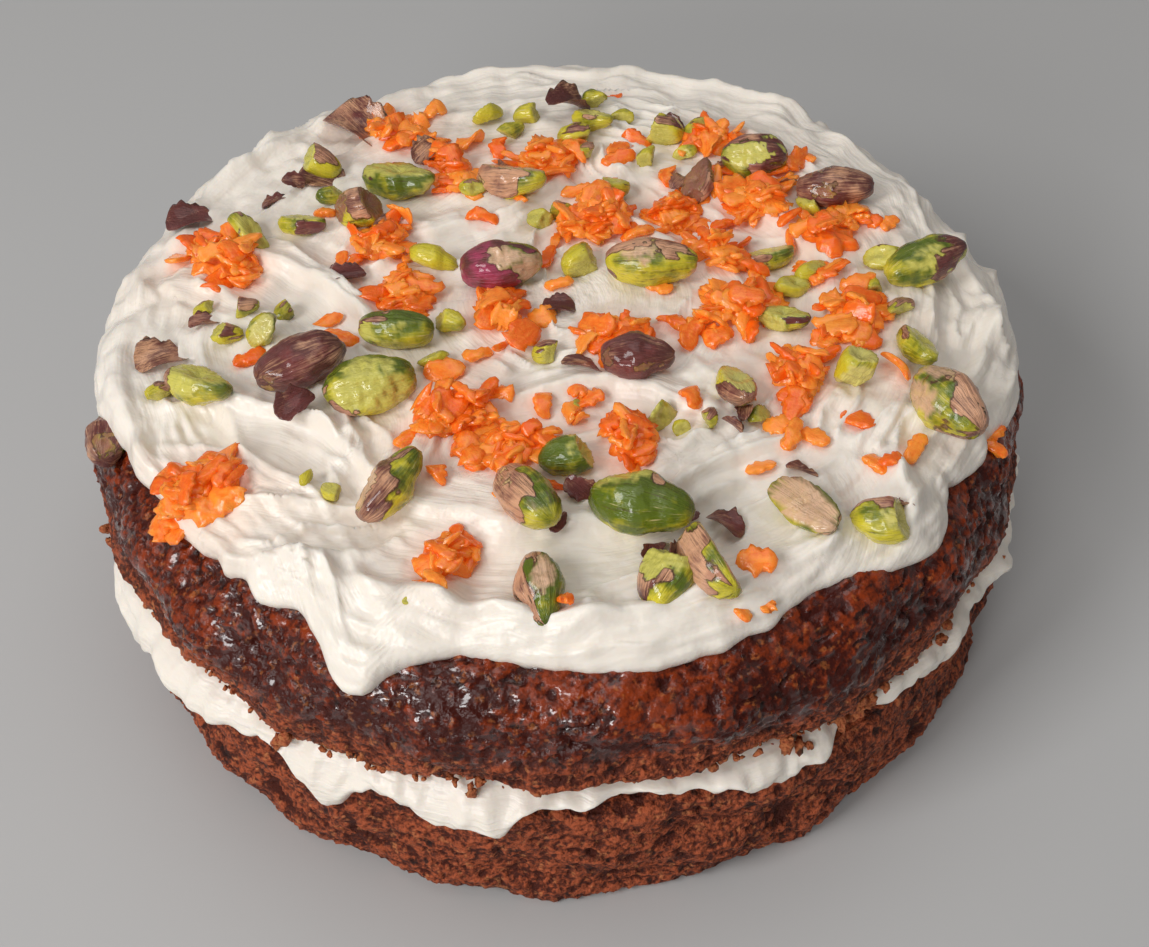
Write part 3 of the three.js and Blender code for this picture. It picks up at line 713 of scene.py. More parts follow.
def sponge_finish(name, crusted):
    """Brown crumb, with painted shade in its pits and painted light on its bumps, darker in its
    specks, and lighter on its flecks and its torn edge. A crusted sponge has a sticky crust above a
    wandering height, with a darker band where it begins, amber with painted light on its bumps and
    painted shade in its pits, and wet spots of coat."""
    tint = colours()
    f = Finish(name, specular_ior_level=0.25, coat_roughness=0.08)
    where = f.place()
    relief = f.attribute("relief")
    fine = f.noise(where, 0.0009, 4, 0.65)
    grain = f.cells(where, 0.0012)
    broad = f.noise(where, 0.012, 3, 0.55)
    # Relief paints the crumb lighter on its bumps and darker in its pits and holes: painted light
    # and painted shade; the noise adds the crumb's own tone
    lit = relief * 0.9 + (fine - 0.5) * 3.2 + (broad - 0.5) * 0.5 - grain * 0.3 + 0.52
    crumb = f.mix(lit.step(0.0, 1.0), tint.crumb_dark, tint.crumb_light)
    fleck = f.noise(where, 0.0017, 1, 0.4).step(0.60, 0.70) * fine.step(0.4, 0.6)
    # The torn bottom edge is painted lighter: partly the fresh crumb's own colour, partly painted
    # light for thin tatters that light shines through
    torn = f.attribute("torn") * fine.step(0.35, 0.6)
    crumb = f.mix((fleck * 0.6 + torn * 0.7).least(1.0), crumb, FRESH_CRUMB_AND_GLOW)
    speck = f.noise(where, 0.0026, 2, 0.5).step(0.62, 0.70)
    crumb = f.mix(speck * 0.85, crumb, CRUMB_SPECK)
    rough = 0.34 + fine * 0.5
    if crusted:
        height = f.make("ShaderNodeSeparateXYZ", {}, {0: where}, 2)
        hard = (height + (broad - 0.5) * 0.008).step(0.0415, 0.0470)
        burnt = height.step(0.0425, 0.0465) * (1 - height.step(0.0470, 0.0520))
        # Amber on the crust's bumps and its dark parts in the pits follow the relief: painted light
        # and painted shade, over the crust's own amber patches of noise and its burnt band
        amber = f.noise(where, 0.005, 4, 0.62, 0.4) + relief * 1.2 + (fine - 0.5) * 1.8
        amber = (amber - burnt * 0.2 - 0.20).step(0.05, 0.95)
        crust = f.mix(amber, tint.crust_dark, tint.crust_light)
        crust = f.mix(fleck * 0.4, crust, CRUST_FLECK)
        crust = f.mix(speck * 0.8, crust, CRUST_SPECK)
        crumb = f.mix(hard, crumb, crust)
        gloss = f.noise(where, 0.0050, 3, 0.6).step(0.36, 0.60)
        rough = rough * (1 - hard) + hard * (0.36 - gloss * 0.24)
        wet = f.noise(where, 0.0032, 3, 0.6).step(0.50, 0.57)
        f.feed(coat_weight=hard * wet)
        fine = fine * (1 - hard * 0.85)
        grain = grain * (1 - hard * 0.85)
    coarse = f.bump(f.noise(where, 0.0022, 2, 0.5), 0.0016, 0.6)
    normal = f.bump(fine - grain * 0.5, 0.0014, 0.8, coarse)
    return f.feed(base_color=crumb, roughness=rough, normal=normal)


def cream_finish():
    """Soft white cream: light spreads under it, streaks follow the comb of the knife, and
    carrot juice stains it where the stain attribute says."""
    tint = colours()
    f = Finish("whipped_cream", subsurface_weight=0.22, subsurface_scale=1.0,
               subsurface_radius=(0.0024, 0.0018, 0.0012), specular_ior_level=0.42)
    where = f.place()
    comb = f.stretch(f.attribute("comb", "Vector"), (1.0, 0.07, 1.0))
    streaks = f.noise(comb, 1.1, 2, 0.5) * f.attribute("lead")
    soft = f.noise(where, 0.006, 3, 0.5)
    stain = f.attribute("stain") * (0.12 + soft * 0.5)
    body = f.mix(soft.step(0.3, 0.8) * 0.15, tint.cream, CREAM_SHADE)
    stained = f.mix(stain.least(0.85), body, tint.stain)
    rough = 0.20 + soft * 0.16 + streaks * 0.08
    torn = f.noise(where, 0.0030, 3, 0.6) * soft.step(0.42, 0.62)
    normal = f.bump(streaks, 0.0006, 0.5, f.bump(soft + torn * 0.2, 0.0011, 0.38))
    return f.feed(base_color=stained, roughness=rough, normal=normal)


def nut_finish(name, cut):
    """Kernel: flesh from green to yellow by its tone, with pale scratches, dark seams along
    it that are partly its own brown streaks and partly painted shade for its crevices, set by
    noise, and its own colour on broken faces, under patches of papery skin with a dark fringe, from
    pink to purple by its hue and magenta past that."""
    tint = colours()
    f = Finish(name, subsurface_weight=0.06, subsurface_scale=1.0,
               subsurface_radius=(0.0010, 0.0010, 0.0003), specular_ior_level=0.4,
               coat_weight=0.5, coat_roughness=0.06)
    where = f.place()
    grain = f.attribute("grain", "Vector")
    hue = f.attribute("hue")
    streak = f.noise(f.stretch(grain, (0.22, 1.6, 1.6)), 1.0, 4, 0.65)
    lines = f.noise(f.stretch(grain, (0.15, 3.6, 3.6)), 1.0, 3, 0.6)
    fine = f.noise(where, 0.0008, 3, 0.6)
    patch = f.noise(where, 0.0044, 3, 0.55)
    ripe = f.attribute("tone") + (streak - 0.5) * 0.9 + (patch - 0.5) * 2.6
    flesh = f.mix(ripe.step(0.0, 1.0), tint.flesh_green, tint.flesh_yellow)
    scratch = lines.step(0.58, 0.66) * streak.step(0.50, 0.62)
    flesh = f.mix(scratch * 0.7, flesh, FLESH_SCRATCH)
    # Dark seams: partly the kernel's brown streaks, partly painted shade standing in for shade in
    # its crevices, set by noise
    seam_shade = lines.step(0.42, 0.34) * patch.step(0.56, 0.40)
    flesh = f.mix(seam_shade * 0.7, flesh, FLESH_SEAM_SHADE)
    flesh = f.mix(f.attribute("cut") * (0.62 + fine * 0.5).least(1.0), flesh, cut)
    blush = f.noise(where, 0.0060, 2, 0.5)
    dark = hue + (lines - 0.5) * 1.7 + (streak - 0.5) + (patch - 0.5) * 2.6 + 0.10
    paper = f.mix(dark.step(0.0, 1.0), tint.skin_pink, tint.skin_dark)
    paper = f.mix(blush.step(0.48, 0.66) * 0.4, paper, SKIN_BLUSH)
    magenta = hue.step(1.25, 1.45) * patch.step(0.66, 0.40)
    paper = f.mix(magenta * 0.8, paper, SKIN_MAGENTA)
    cover = f.attribute("skin") + (fine - 0.5) * 0.5
    covered = cover.step(0.44, 0.52)
    fringe = cover.step(0.22, 0.42) * (1 - covered)
    base = f.mix(fringe * 0.85, flesh, SKIN_FRINGE)
    base = f.mix(covered, base, paper)
    rough = 0.14 + covered * 0.18 + fine * 0.2
    height = streak * 0.5 + lines * (0.3 + covered) + covered * 0.35
    normal = f.bump(height, 0.0011, 0.7, f.bump(patch, 0.0014, 0.6))
    return f.feed(base_color=base, roughness=rough, normal=normal)


def carrot_finish():
    """Wet carrot: from deep to light orange by each shred's tone and its fibres, with a faint
    painted glow, emitted in its own colour, that stands in for the light passing through it and
    lifts its shade."""
    tint = colours()
    # emission_strength sets the carrot's painted glow
    f = Finish("grated_carrot", subsurface_weight=0.5, subsurface_scale=1.0,
               subsurface_radius=(0.0014, 0.0005, 0.0002), specular_ior_level=0.5,
               coat_weight=0.25, coat_roughness=0.08, emission_strength=0.12)
    grain = f.attribute("grain", "Vector")
    fibre = f.noise(f.stretch(grain, (0.25, 1.6, 1.6)), 1.0, 3, 0.6)
    fine = f.noise(f.place(), 0.0014, 3, 0.6)
    light = (fibre - 0.5) * 0.9 + f.attribute("tone") * 0.8 + (fine - 0.5) * 1.2 + 0.1
    base = f.mix(light.step(0.0, 1.0), tint.carrot_deep, tint.carrot_light)
    rough = 0.10 + fine * 0.25
    normal = f.bump(fibre * 0.5 + fine, 0.0005, 0.45)
    # Emission in the carrot's own colour is a painted glow, not a lamp
    return f.feed(base_color=base, emission_color=base, roughness=rough, normal=normal)


def turn_matrix(heading, pitch, roll):
    """Rotations (n, 3, 3) from degrees: roll about X, then pitch about Y, then heading about Z."""
    turns = [np.radians(np.asarray(turn, float)) for turn in (heading, pitch, roll)]
    (ch, cp, cr), (sh, sp, sr) = np.cos(turns), np.sin(turns)
    zero, one = np.zeros_like(ch), np.ones_like(ch)
    about_z = np.array([[ch, -sh, zero], [sh, ch, zero], [zero, zero, one]])
    about_y = np.array([[cp, zero, sp], [zero, one, zero], [-sp, zero, cp]])
    about_x = np.array([[one, zero, zero], [zero, cr, -sr], [zero, sr, cr]])
    return np.einsum("ijn,jkn,kln->nil", about_z, about_y, about_x)


def kernels(length, planes, seed, rows=34, columns=40, cleft=0.0):
    """Nut bodies (n, rows, columns, 3) along X: the ray in each direction stops at a tapered
    superellipsoid or at a cutting plane, whichever is nearer, with a soft corner between. The
    first plane's face is hollowed. Wrinkles, creases and a cleft run lengthwise. planes is
    (n, k, 4): normal and distance in half lengths. Also gives the share of cut face."""
    count = len(length)
    theta = np.linspace(0, math.pi, rows)[None, :, None]
    phi = np.linspace(0, TURN, columns, endpoint=False)[None, None, :]
    ray = np.stack(np.broadcast_arrays(np.cos(theta), np.sin(theta) * np.cos(phi),
                                       np.sin(theta) * np.sin(phi)), -1)
    ray = np.broadcast_to(ray, (count, rows, columns, 3))
    order = np.arange(count)[:, None, None]
    which = (order * 7.3 + seed)[..., None]
    tip = 0.18 + 0.14 * np.sin(order * 2.9 + seed)
    plump = 1 + 0.12 * np.sin(order * 1.7 + seed)
    taper = 1 - tip * smooth(-0.1, 1, ray[..., 0]) - 0.06 * smooth(0.1, -1, ray[..., 0])
    taper = taper * plump
    wrinkle = 1 + 0.08 * noise(ray * [1.1, 2.2, 2.2] + which, seed)
    wrinkle = wrinkle + 0.035 * noise(ray * [2.4, 8, 8] + which, seed + 1)
    groove = between(np.degrees(phi), 60 + 80 * np.sin(order * 2.4)) / 11
    creases = smooth(0.10, 0.0, np.abs(noise(ray * [1.2, 3.4, 3.4] + which, seed + 4)))
    wrinkle = wrinkle - (cleft * bell(groove) + 0.035 * creases) * np.sin(theta)
    wide = np.abs(ray / [1.0, KERNEL_WIDTH, KERNEL_HEIGHT])
    wide = wide / np.stack([np.ones(taper.shape), taper, taper], -1)
    body = wrinkle / (wide ** KERNEL_POWER).sum(-1) ** (1 / KERNEL_POWER)
    cut = np.full(body.shape, NO_CUT)
    for k in range(planes.shape[1]):
        facing = np.einsum("nijc,nc->nij", ray, planes[:, k, :3])
        apart = which + 3 * k
        chip = 1 + 0.16 * noise(ray * 3 + apart, seed + 2) + 0.09 * noise(ray * 7 + apart, seed + 3)
        if k == 0:
            chip = chip * (1 - 0.5 * smooth(0.55, 0.95, facing))
        far = planes[:, k, 3][:, None, None] * chip / np.maximum(facing, 0.02)
        cut = np.minimum(cut, np.where(facing > 0.02, far, NO_CUT))
    sharp = CORNER_SHARPNESS
    reach = -np.log(np.exp(-sharp * body) + np.exp(-sharp * cut)) / sharp
    points = ray * (reach * length[:, None, None] / 2)[..., None]
    return points, smooth(0.08, -0.02, cut - body)


def chipped(cuts, whole, seed):
    """Cutting planes (n, 5, 4): the given one, and four chips from random sides whose distance
    is a share of the ellipsoid's own reach that way, nearer to 1 on a whole nut."""
    rng = np.random.default_rng(seed)
    n = len(cuts)
    normal = rng.normal(size=(n, 4, 3)) * [0.6, 1, 1]
    normal /= np.linalg.norm(normal, axis=-1, keepdims=True)
    support = np.linalg.norm(normal * [1, 0.58, 0.55], axis=-1)
    slight, deep = rng.uniform(0.86, 1.04, (n, 4)), rng.uniform(0.72, 0.98, (n, 4))
    share = np.where(np.array(whole)[:, None], slight, deep)
    chips = np.concatenate([normal, (support * share)[..., None]], -1)
    return np.concatenate([cuts[:, None, :], chips], 1)


def skin_patches(local, placed, cut, share, side, seed):
    """Skin cover from 0 to 1: lengthwise patches of noise, more of them on one side of the
    nut, raised or lowered by its share of skin, and none on broken faces. Also the grain
    that streaks follow."""
    around = np.arctan2(local[..., 2], local[..., 1])
    which = np.arange(len(local))[:, None, None] * 5.7 + seed
    grain = np.stack([local[..., 0] + which, np.cos(around) * 3 + which, np.sin(around) * 3], -1)
    patch = 0.7 * noise(grain * [0.16, 0.36, 0.36], seed)
    patch = patch + 0.35 * noise(grain * [0.4, 0.9, 0.9], seed + 1)
    away = placed - placed.mean(axis=(1, 2), keepdims=True)
    away = away / np.linalg.norm(away, axis=-1, keepdims=True)
    lean = np.einsum("nrci,ni->nrc", away, side)
    cover = smooth(-0.3, 0.3, patch + 0.7 * lean + 1.7 * (share[:, None, None] - 0.5))
    return cover * (1 - cut), grain


def set_down(points, x, y, heading, pitch, roll, sink):
    """Turns pieces (n, rows, columns, 3) and lowers each onto the frosting, sunk by a share
    of its own height."""
    turned = np.einsum("nij,nrcj->nrci", turn_matrix(heading, pitch, roll), points)
    low = turned[..., 2].min(axis=(1, 2))
    high = turned[..., 2].max(axis=(1, 2))
    lift = frosting_top(x, y) - low - sink * (high - low)
    return turned + np.stack([x, y, lift], -1)[:, None, None, :]


def strips(length, width, thickness, bend, cup, twist, ragged, point, seed, rows=12, columns=8):
    """Strips (n, rows, columns, 3) along X: a flat superellipse section whose width fades to
    the ends by a power and wavers, bent up as a parabola along it, cupped across it and
    twisted."""
    count = len(length)

    def per(values):
        return np.broadcast_to(np.asarray(values, float), count)[:, None, None]

    t = np.linspace(-1, 1, rows)[None, :, None]
    phi = np.linspace(0, TURN, columns, endpoint=False)[None, None, :]
    which = np.arange(count)[:, None, None] * 3.1
    waver = np.stack(np.broadcast_arrays(t * 2.6 + which, 3 * np.sign(np.sin(phi)), which), -1)
    fade = np.clip(1 - np.abs(t) ** point, 0, 1) ** 0.5
    swell = fade * (1 + per(ragged) * noise(waver, seed))
    side = np.sign(np.cos(phi)) * np.abs(np.cos(phi)) ** 0.6
    face = np.sign(np.sin(phi)) * np.abs(np.sin(phi)) ** 0.6
    y = per(width) / 2 * swell * side
    z = per(thickness) / 2 * fade * face
    turn = per(twist) * t
    y, z = y * np.cos(turn) - z * np.sin(turn), y * np.sin(turn) + z * np.cos(turn)
    x = per(length) / 2 * t + 0 * y
    z = z - per(bend) * t ** 2 + per(cup) * (2 * y / per(width)) ** 2
    y = y + per(bend) * 0.8 * np.sin(2.4 * t + which)
    points = np.stack([x, y, z], -1)
    grain = np.stack([x + which * 4, y + which, z], -1)
    return points, grain


def mounds(x, y, width, depth, height, seed, rows=30, columns=44):
    """Low heaps (n, rows, columns, 3): half ellipsoids with a wavering outline and shreddy
    ridges of stretched noise, set on the frosting under them."""
    theta = np.linspace(0, math.pi, rows)[None, :, None]
    phi = np.linspace(0, TURN, columns, endpoint=False)[None, None, :]
    which = np.arange(len(x))[:, None, None] * 4.7

    def per(values):
        return np.asarray(values, float)[:, None, None]

    ring = np.stack(np.broadcast_arrays(np.cos(phi) * 1.5 + which,
                                        np.sin(phi) * 1.5 + which, 0.0), -1)
    outline = np.sin(theta) * (0.86 + 0.34 * noise(ring, seed) + 0.2 * noise(ring * 2.3, seed + 1))
    px, py = per(width) / 2 * outline * np.cos(phi), per(depth) / 2 * outline * np.sin(phi)
    rise = np.where(np.cos(theta) > 0, np.cos(theta), 0.2 * np.cos(theta)) * height + 0 * px
    spot = np.stack([px, py, rise], -1) + which[..., None] * 3
    ridges = 0.9 * noise(spot / [3.6, 1.5, 1.6], seed + 2)
    ridges = ridges + 0.8 * noise(spot / [1.4, 3.4, 1.6], seed + 3)
    rise = rise + np.where(rise > 0, ridges * (0.3 + np.sin(theta) * 0.4), 0)
    px, py = px + per(x), py + per(y)
    return np.stack([px, py, frosting_top(px, py) + rise], -1), spot


def filling_skin(rows=54, columns=720):
    """The filling turned about +Z: flat faces that run through the cake and a rim that bulges
    out by Gaussian lobes, droops at its lower half and carries soft folds."""
    low, high = in_mm("lower_top") + FILLING_GAP, in_mm("upper_bottom") - FILLING_GAP
    angle = np.linspace(0, TURN, columns, endpoint=False)[None, :]
    near = bell(between(np.degrees(angle)[..., None], FILLING_LOBES[:, 0]) / FILLING_LOBES[:, 1])
    reach = FILLING_REACH + (FILLING_LOBES[:, 2] * near).sum(-1)
    droop = (FILLING_LOBES[:, 3] * near).sum(-1)
    rim = polar(SIDE_RING, angle, 0.0)
    reach = reach + 0.9 * noise(rim / 8, 31) + 0.6 * noise(rim / 3.2, 32)
    droop = droop + 1.8 * noise(rim / 6, 33) + 1.3 * noise(rim / 2.6, 34)
    flat = np.array([0, 0.45, 0.8])
    turn = np.linspace(-math.pi / 2, math.pi / 2, rows - 6)
    across = np.concatenate([flat, 0.93 + 0.07 * np.cos(turn), flat[::-1]])[:, None]
    bulge = np.concatenate([0 * flat, np.cos(turn), 0 * flat])[:, None]
    up = np.concatenate([0 * flat, 0.5 + 0.5 * np.sin(turn), 1 + 0 * flat])[:, None]
    z = low + (high - low) * up
    spot = polar(SIDE_RING, angle, z)
    folds = noise(spot / [7, 7, 2.6], 35) + 0.5 * noise(spot / [4, 4, 1.4], 36)
    folds = folds + 0.35 * noise(spot / 1.8, 38)
    lean = bell((1 - up - 0.6) * 1.6)
    radius = across * reach + bulge * (FILLING_BULGE * lean + folds)
    z = z - 1.45 * bulge ** 0.7 * droop * (1 - up) + bulge * 0.3 * noise(spot / 3, 37)
    comb = np.stack(np.broadcast_arrays(z * 1.5, angle * 40, 0 * z), -1)
    return polar(radius, angle, z), {"comb": comb, "lead": 1 + 0 * radius, "stain": 0 * radius}


def frosting_skin(rows=176, columns=520, under=9):
    """The frosting in polar form: the outside stands off the crust along its normal by the
    frosting's thickness, and the underside lies just inside the crust."""
    angle = np.linspace(0, TURN, columns, endpoint=False)[None, :]
    share = 1 - (1 - np.linspace(0, 1, rows - under)) ** 1.5
    share = np.concatenate([share, np.linspace(1, 0, under)])[:, None]
    outside = np.arange(rows)[:, None] < rows - under
    reach = frosting_reach(angle)
    path_radius, path_z, path_length = crust_path()
    along = np.minimum(share * reach, path_length[-1])
    spare = share * reach - along
    radius = np.interp(along, path_length, path_radius)
    z = np.interp(along, path_length, path_z) - spare
    path_slope = np.arctan2(-np.gradient(path_z), np.gradient(path_radius))
    slope = np.interp(along, path_length, path_slope)
    thickness, comb, lead = frosting_thickness(angle, share + 0 * reach, reach, radius)
    thickness = np.where(outside, thickness, -UNDERLAP)
    points = polar(radius + thickness * np.sin(slope), angle, z + thickness * np.cos(slope))
    stain = np.zeros(radius.shape)
    for x, y, width, depth in CARROT_HEAPS:
        away = np.hypot((points[..., 0] - x) / width, (points[..., 1] - y) / depth)
        stain = np.maximum(stain, bell(away / 0.85))
    return points, {"comb": comb, "lead": lead, "stain": stain}


class CAKE_OT_sponges(bpy.types.Operator):
    """Bakes the two sponges"""

    bl_idname = "cake.sponges"
    bl_label = "Sponges"

    def execute(self, context):
        r, top, low = in_mm("radius"), in_mm("lower_top"), in_mm("upper_bottom")

        def torn_edge(angle, z):
            """Drop of the bottom edge, by its lobes and tatters of noise, and how torn it is, which
            paints the edge lighter in the finish: partly fresh crumb, partly painted light through
            thin tatters.
            """
            rim = polar(r, angle, 0.0)
            tatters = 1.5 * noise(rim / 3.2, 61) + 1.5 * noise(rim / 1.6, 62)
            drop = torn_drop(angle) + tatters * smooth(low + 3, low + 0.5, z)
            return smooth(low + 6, low + 0.5, z) * drop, smooth(low + 2.2, low + 0.4, z)

        lower = np.array([[0, 0], [r - 6, 0], [r - 3, 0], [r - 0.8, 1.4], [r, 5], [r, 14],
                          [r, top - 4.5], [r - 0.8, top - 1.2], [r - 3, top], [r - 8, top],
                          [0, top]])
        points, facts = sponge_skin(lower, 98, 780, 50, lambda z: 0 * z,
                                    lambda angle, z: (0 * z, 0 * z))
        points[..., 2] = np.maximum(points[..., 2], 0.0)
        place("lower_sponge", points, facts, sponge_finish("crumb", False), "sponge",
              ["sponge_lower"])

        round_over = np.array([90, 89.8, 89.2, 88.2, 87, 85.4, 83.5, 81, 78, 74, 70, 66])
        crown = np.stack([round_over, crust_height(round_over)], -1)
        foot = [[0, low], [r - 9, low], [r - 4, low], [r - 1, low + 1], [r, low + 3.5]]
        upper = np.concatenate([foot, crown, [[0, in_mm("upper_top")]]])
        points, facts = sponge_skin(upper, 122, 800, 70, lambda z: smooth(44, 49, z), torn_edge)
        place("upper_sponge", points, facts, sponge_finish("crumb_and_crust", True), "sponge",
              ["sponge_upper"])
        return {"FINISHED"}


class CAKE_OT_cream(bpy.types.Operator):
    """Spreads the filling and the frosting"""

    bl_idname = "cake.cream"
    bl_label = "Cream"

    def execute(self, context):
        cream = cream_finish()
        place("filling", *filling_skin(), cream, "cream", ["cream_filling"])
        place("spread_frosting", *frosting_skin(), cream, "cream", ["frosting"])
        return {"FINISHED"}


class CAKE_OT_pistachios(bpy.types.Operator):
    """Lays the larger pistachios on the frosting"""

    bl_idname = "cake.pistachios"
    bl_label = "Pistachios"

    def execute(self, context):
        cuts = {"green": colours().flesh_pale, "pale": CUT_PALE, "pink": CUT_PINK, "dark": CUT_DARK}
        for slot, cut in cuts.items():
            chosen = [i for i, row in enumerate(PISTACHIOS) if row[1] == slot]
            rows = [PISTACHIOS[i] for i in chosen]
            x, y, heading, pitch, roll, length = np.array([row[2:8] for row in rows], float).T
            share, tone, hue = np.array([[row[9], row[11], row[12]] for row in rows]).T
            side = np.array([SIDES[row[10]] for row in rows], float)
            planes = chipped(np.array([CUTS[row[8]] for row in rows], float),
                             [row[0] == "whole" for row in rows], 80 + len(rows))
            ends = np.array([row[0] == "end" and row[8] == "end" for row in rows])
            length = length * np.where(ends, 1.36, 0.97)
            local, broken = kernels(length, planes, 90 + len(rows), cleft=0.10)
            points = set_down(local, x, y, heading, -pitch, roll, NUT_SINK)
            cover, grain = skin_patches(local, points, broken, share, side, 95 + len(rows))
            z = points[..., 2]
            low, high = (edge(axis=(1, 2), keepdims=True) for edge in (z.min, z.max))
            tone = each(tone, points) + 0.9 * (0.5 - (z - low) / (high - low))
            facts = {"skin": cover, "cut": broken, "grain": grain, "tone": tone,
                     "hue": each(hue, points)}
            nodes = [f"pistachio_{PISTACHIOS[i][0]}_{i + 1:02d}" for i in chosen]
            place(f"pistachios_{slot}", points, facts, nut_finish(f"pistachio_{slot}", cut),
                  f"nut_{slot}", nodes)
        return {"FINISHED"}


class CAKE_OT_carrot(bpy.types.Operator):
    """Heaps grated carrot on the frosting"""

    bl_idname = "cake.carrot"
    bl_label = "Grated carrot"

    def execute(self, context):
        rng = np.random.default_rng(21)
        carrot = carrot_finish()
        x, y, width, depth = CARROT_HEAPS.T
        points, grain = mounds(x, y, 0.8 * width, 0.8 * depth, 0.5 * in_mm("heap"), 25)
        facts = {"grain": grain, "tone": each(rng.random(len(x)), points)}
        place("carrot_pulp", points, facts, carrot, "carrot")

        count = np.round(width * depth * 0.14 + 7).astype(int)
        heap = np.repeat(np.arange(len(CARROT_HEAPS)), count)
        n = len(heap)
        hubs = rng.normal(0, 0.26, (len(CARROT_HEAPS), 4, 2))
        spread = rng.normal(0, 0.13, (n, 2)) + rng.normal(0, 1.0, (n, 2)) / CARROT_HEAPS[heap, 2:]
        offset = hubs[heap, rng.integers(0, 4, n)] + spread
        stray = rng.random(n) < 0.06
        offset = np.where(stray[:, None], offset * 1.7, offset)
        px, py = (CARROT_HEAPS[heap, :2] + offset * CARROT_HEAPS[heap, 2:]).T
        thin = (rng.random(n) < 0.45) | stray
        lift = in_mm("heap") * 0.9 * bell(np.hypot(*offset.T) / 0.42) * rng.random(n)
        lift = np.where(stray, 0, lift)
        length = in_mm("shred") * rng.uniform(0.6, 1.45, n)
        broad = np.where(thin, rng.uniform(1.3, 2.3, n), rng.uniform(2.6, 5.0, n))
        points, grain = strips(
            length, broad, thickness=rng.uniform(0.8, 1.4, n), bend=rng.uniform(-0.25, 0.5, n),
            cup=rng.uniform(-0.4, 0.4, n), twist=rng.normal(0, 0.3, n), ragged=0.9,
            point=np.where(thin, 3.5, 6.0)[:, None, None], seed=22, rows=12, columns=10)
        turn = turn_matrix(rng.uniform(0, 360, n), rng.normal(0, 13, n), rng.normal(0, 24, n))
        points = np.einsum("nij,nrcj->nrci", turn, points)
        seat = np.stack([px, py, frosting_top(px, py) + lift + 0.5], -1)
        points = points + seat[:, None, None, :]
        facts = {"grain": grain, "tone": each(rng.random(n), points)}
        nodes = [f"carrot_heap_{i + 1:02d}" for i in range(len(CARROT_HEAPS))]
        place("grated_carrot", points, facts, carrot, "carrot", nodes)

        x, y, heading, length = CARROT_CHIPS.T
        n = len(x)
        points, grain = strips(
            length, width=rng.uniform(2.2, 4.4, n), thickness=rng.uniform(1.0, 1.7, n),
            bend=rng.uniform(-0.3, 1.0, n), cup=0.1, twist=rng.normal(0, 0.5, n), ragged=0.7,
            point=3.0, seed=23, rows=16, columns=12)
        points = set_down(points, x, y, heading, rng.normal(0, 6, n), rng.normal(0, 20, n),
                          CARROT_CHIP_SINK)
        facts = {"grain": grain, "tone": each(rng.random(n), points)}
        place("carrot_chips", points, facts, carrot, "carrot")
        return {"FINISHED"}


class CAKE_OT_chips(bpy.types.Operator):
    """Strews chips of nut and flakes of skin"""

    bl_idname = "cake.chips"
    bl_label = "Nut chips and skins"

    def execute(self, context):
        rng = np.random.default_rng(33)
        x, y, heading, length = NUT_CHIPS.T
        n = len(x)
        planes = rng.normal(size=(n, 2, 4))
        planes[..., :3] /= np.linalg.norm(planes[..., :3], axis=-1, keepdims=True)
        planes[..., 3] = rng.uniform(0.18, 0.42, (n, 2))
        local, broken = kernels(length * 1.15, planes, 120, rows=20, columns=24)
        points = set_down(local, x, y, heading, rng.normal(0, 12, n), rng.normal(0, 40, n),
                          NUT_CHIP_SINK)
        side = np.tile([0.0, 0.3, 1.0], (n, 1))
        cover, grain = skin_patches(local, points, broken, rng.uniform(-0.4, 0.4, n), side, 121)
        yellow = (x < -30) & (y < -40)
        tone = each(np.where(yellow, 2.0, rng.uniform(0.5, 1.2, n)), points)
        facts = {"skin": cover, "cut": broken, "grain": grain, "tone": tone, "hue": 0.5 * tone}
        pale = colours().flesh_pale
        place("pistachio_chips", points, facts, nut_finish("pistachio_chip", pale), "nut_green")

        x, y, heading, length = SKIN_FLAKES.T
        n = len(x)
        points, grain = strips(
            length, width=length * rng.uniform(0.45, 0.75, n), thickness=0.4,
            bend=rng.uniform(0.2, 0.1 * length), cup=rng.uniform(0.5, 0.22 * length),
            twist=rng.normal(0, 0.3, n), ragged=0.4, point=2.6, seed=34, rows=24, columns=20)
        points = set_down(points, x, y, heading, rng.normal(8, 12, n), rng.normal(0, 28, n),
                          FLAKE_SINK)
        tone = each(rng.random(n), points)
        pinker = each(0.06 * np.maximum(length - 8, 0), points)
        facts = {"grain": grain, "tone": tone, "hue": 0.45 + 0.75 * tone - pinker,
                 "skin": np.ones(tone.shape), "cut": np.zeros(tone.shape)}
        place("skin_flakes", points, facts, nut_finish("papery_skin", pale), "nut_dark")
        return {"FINISHED"}


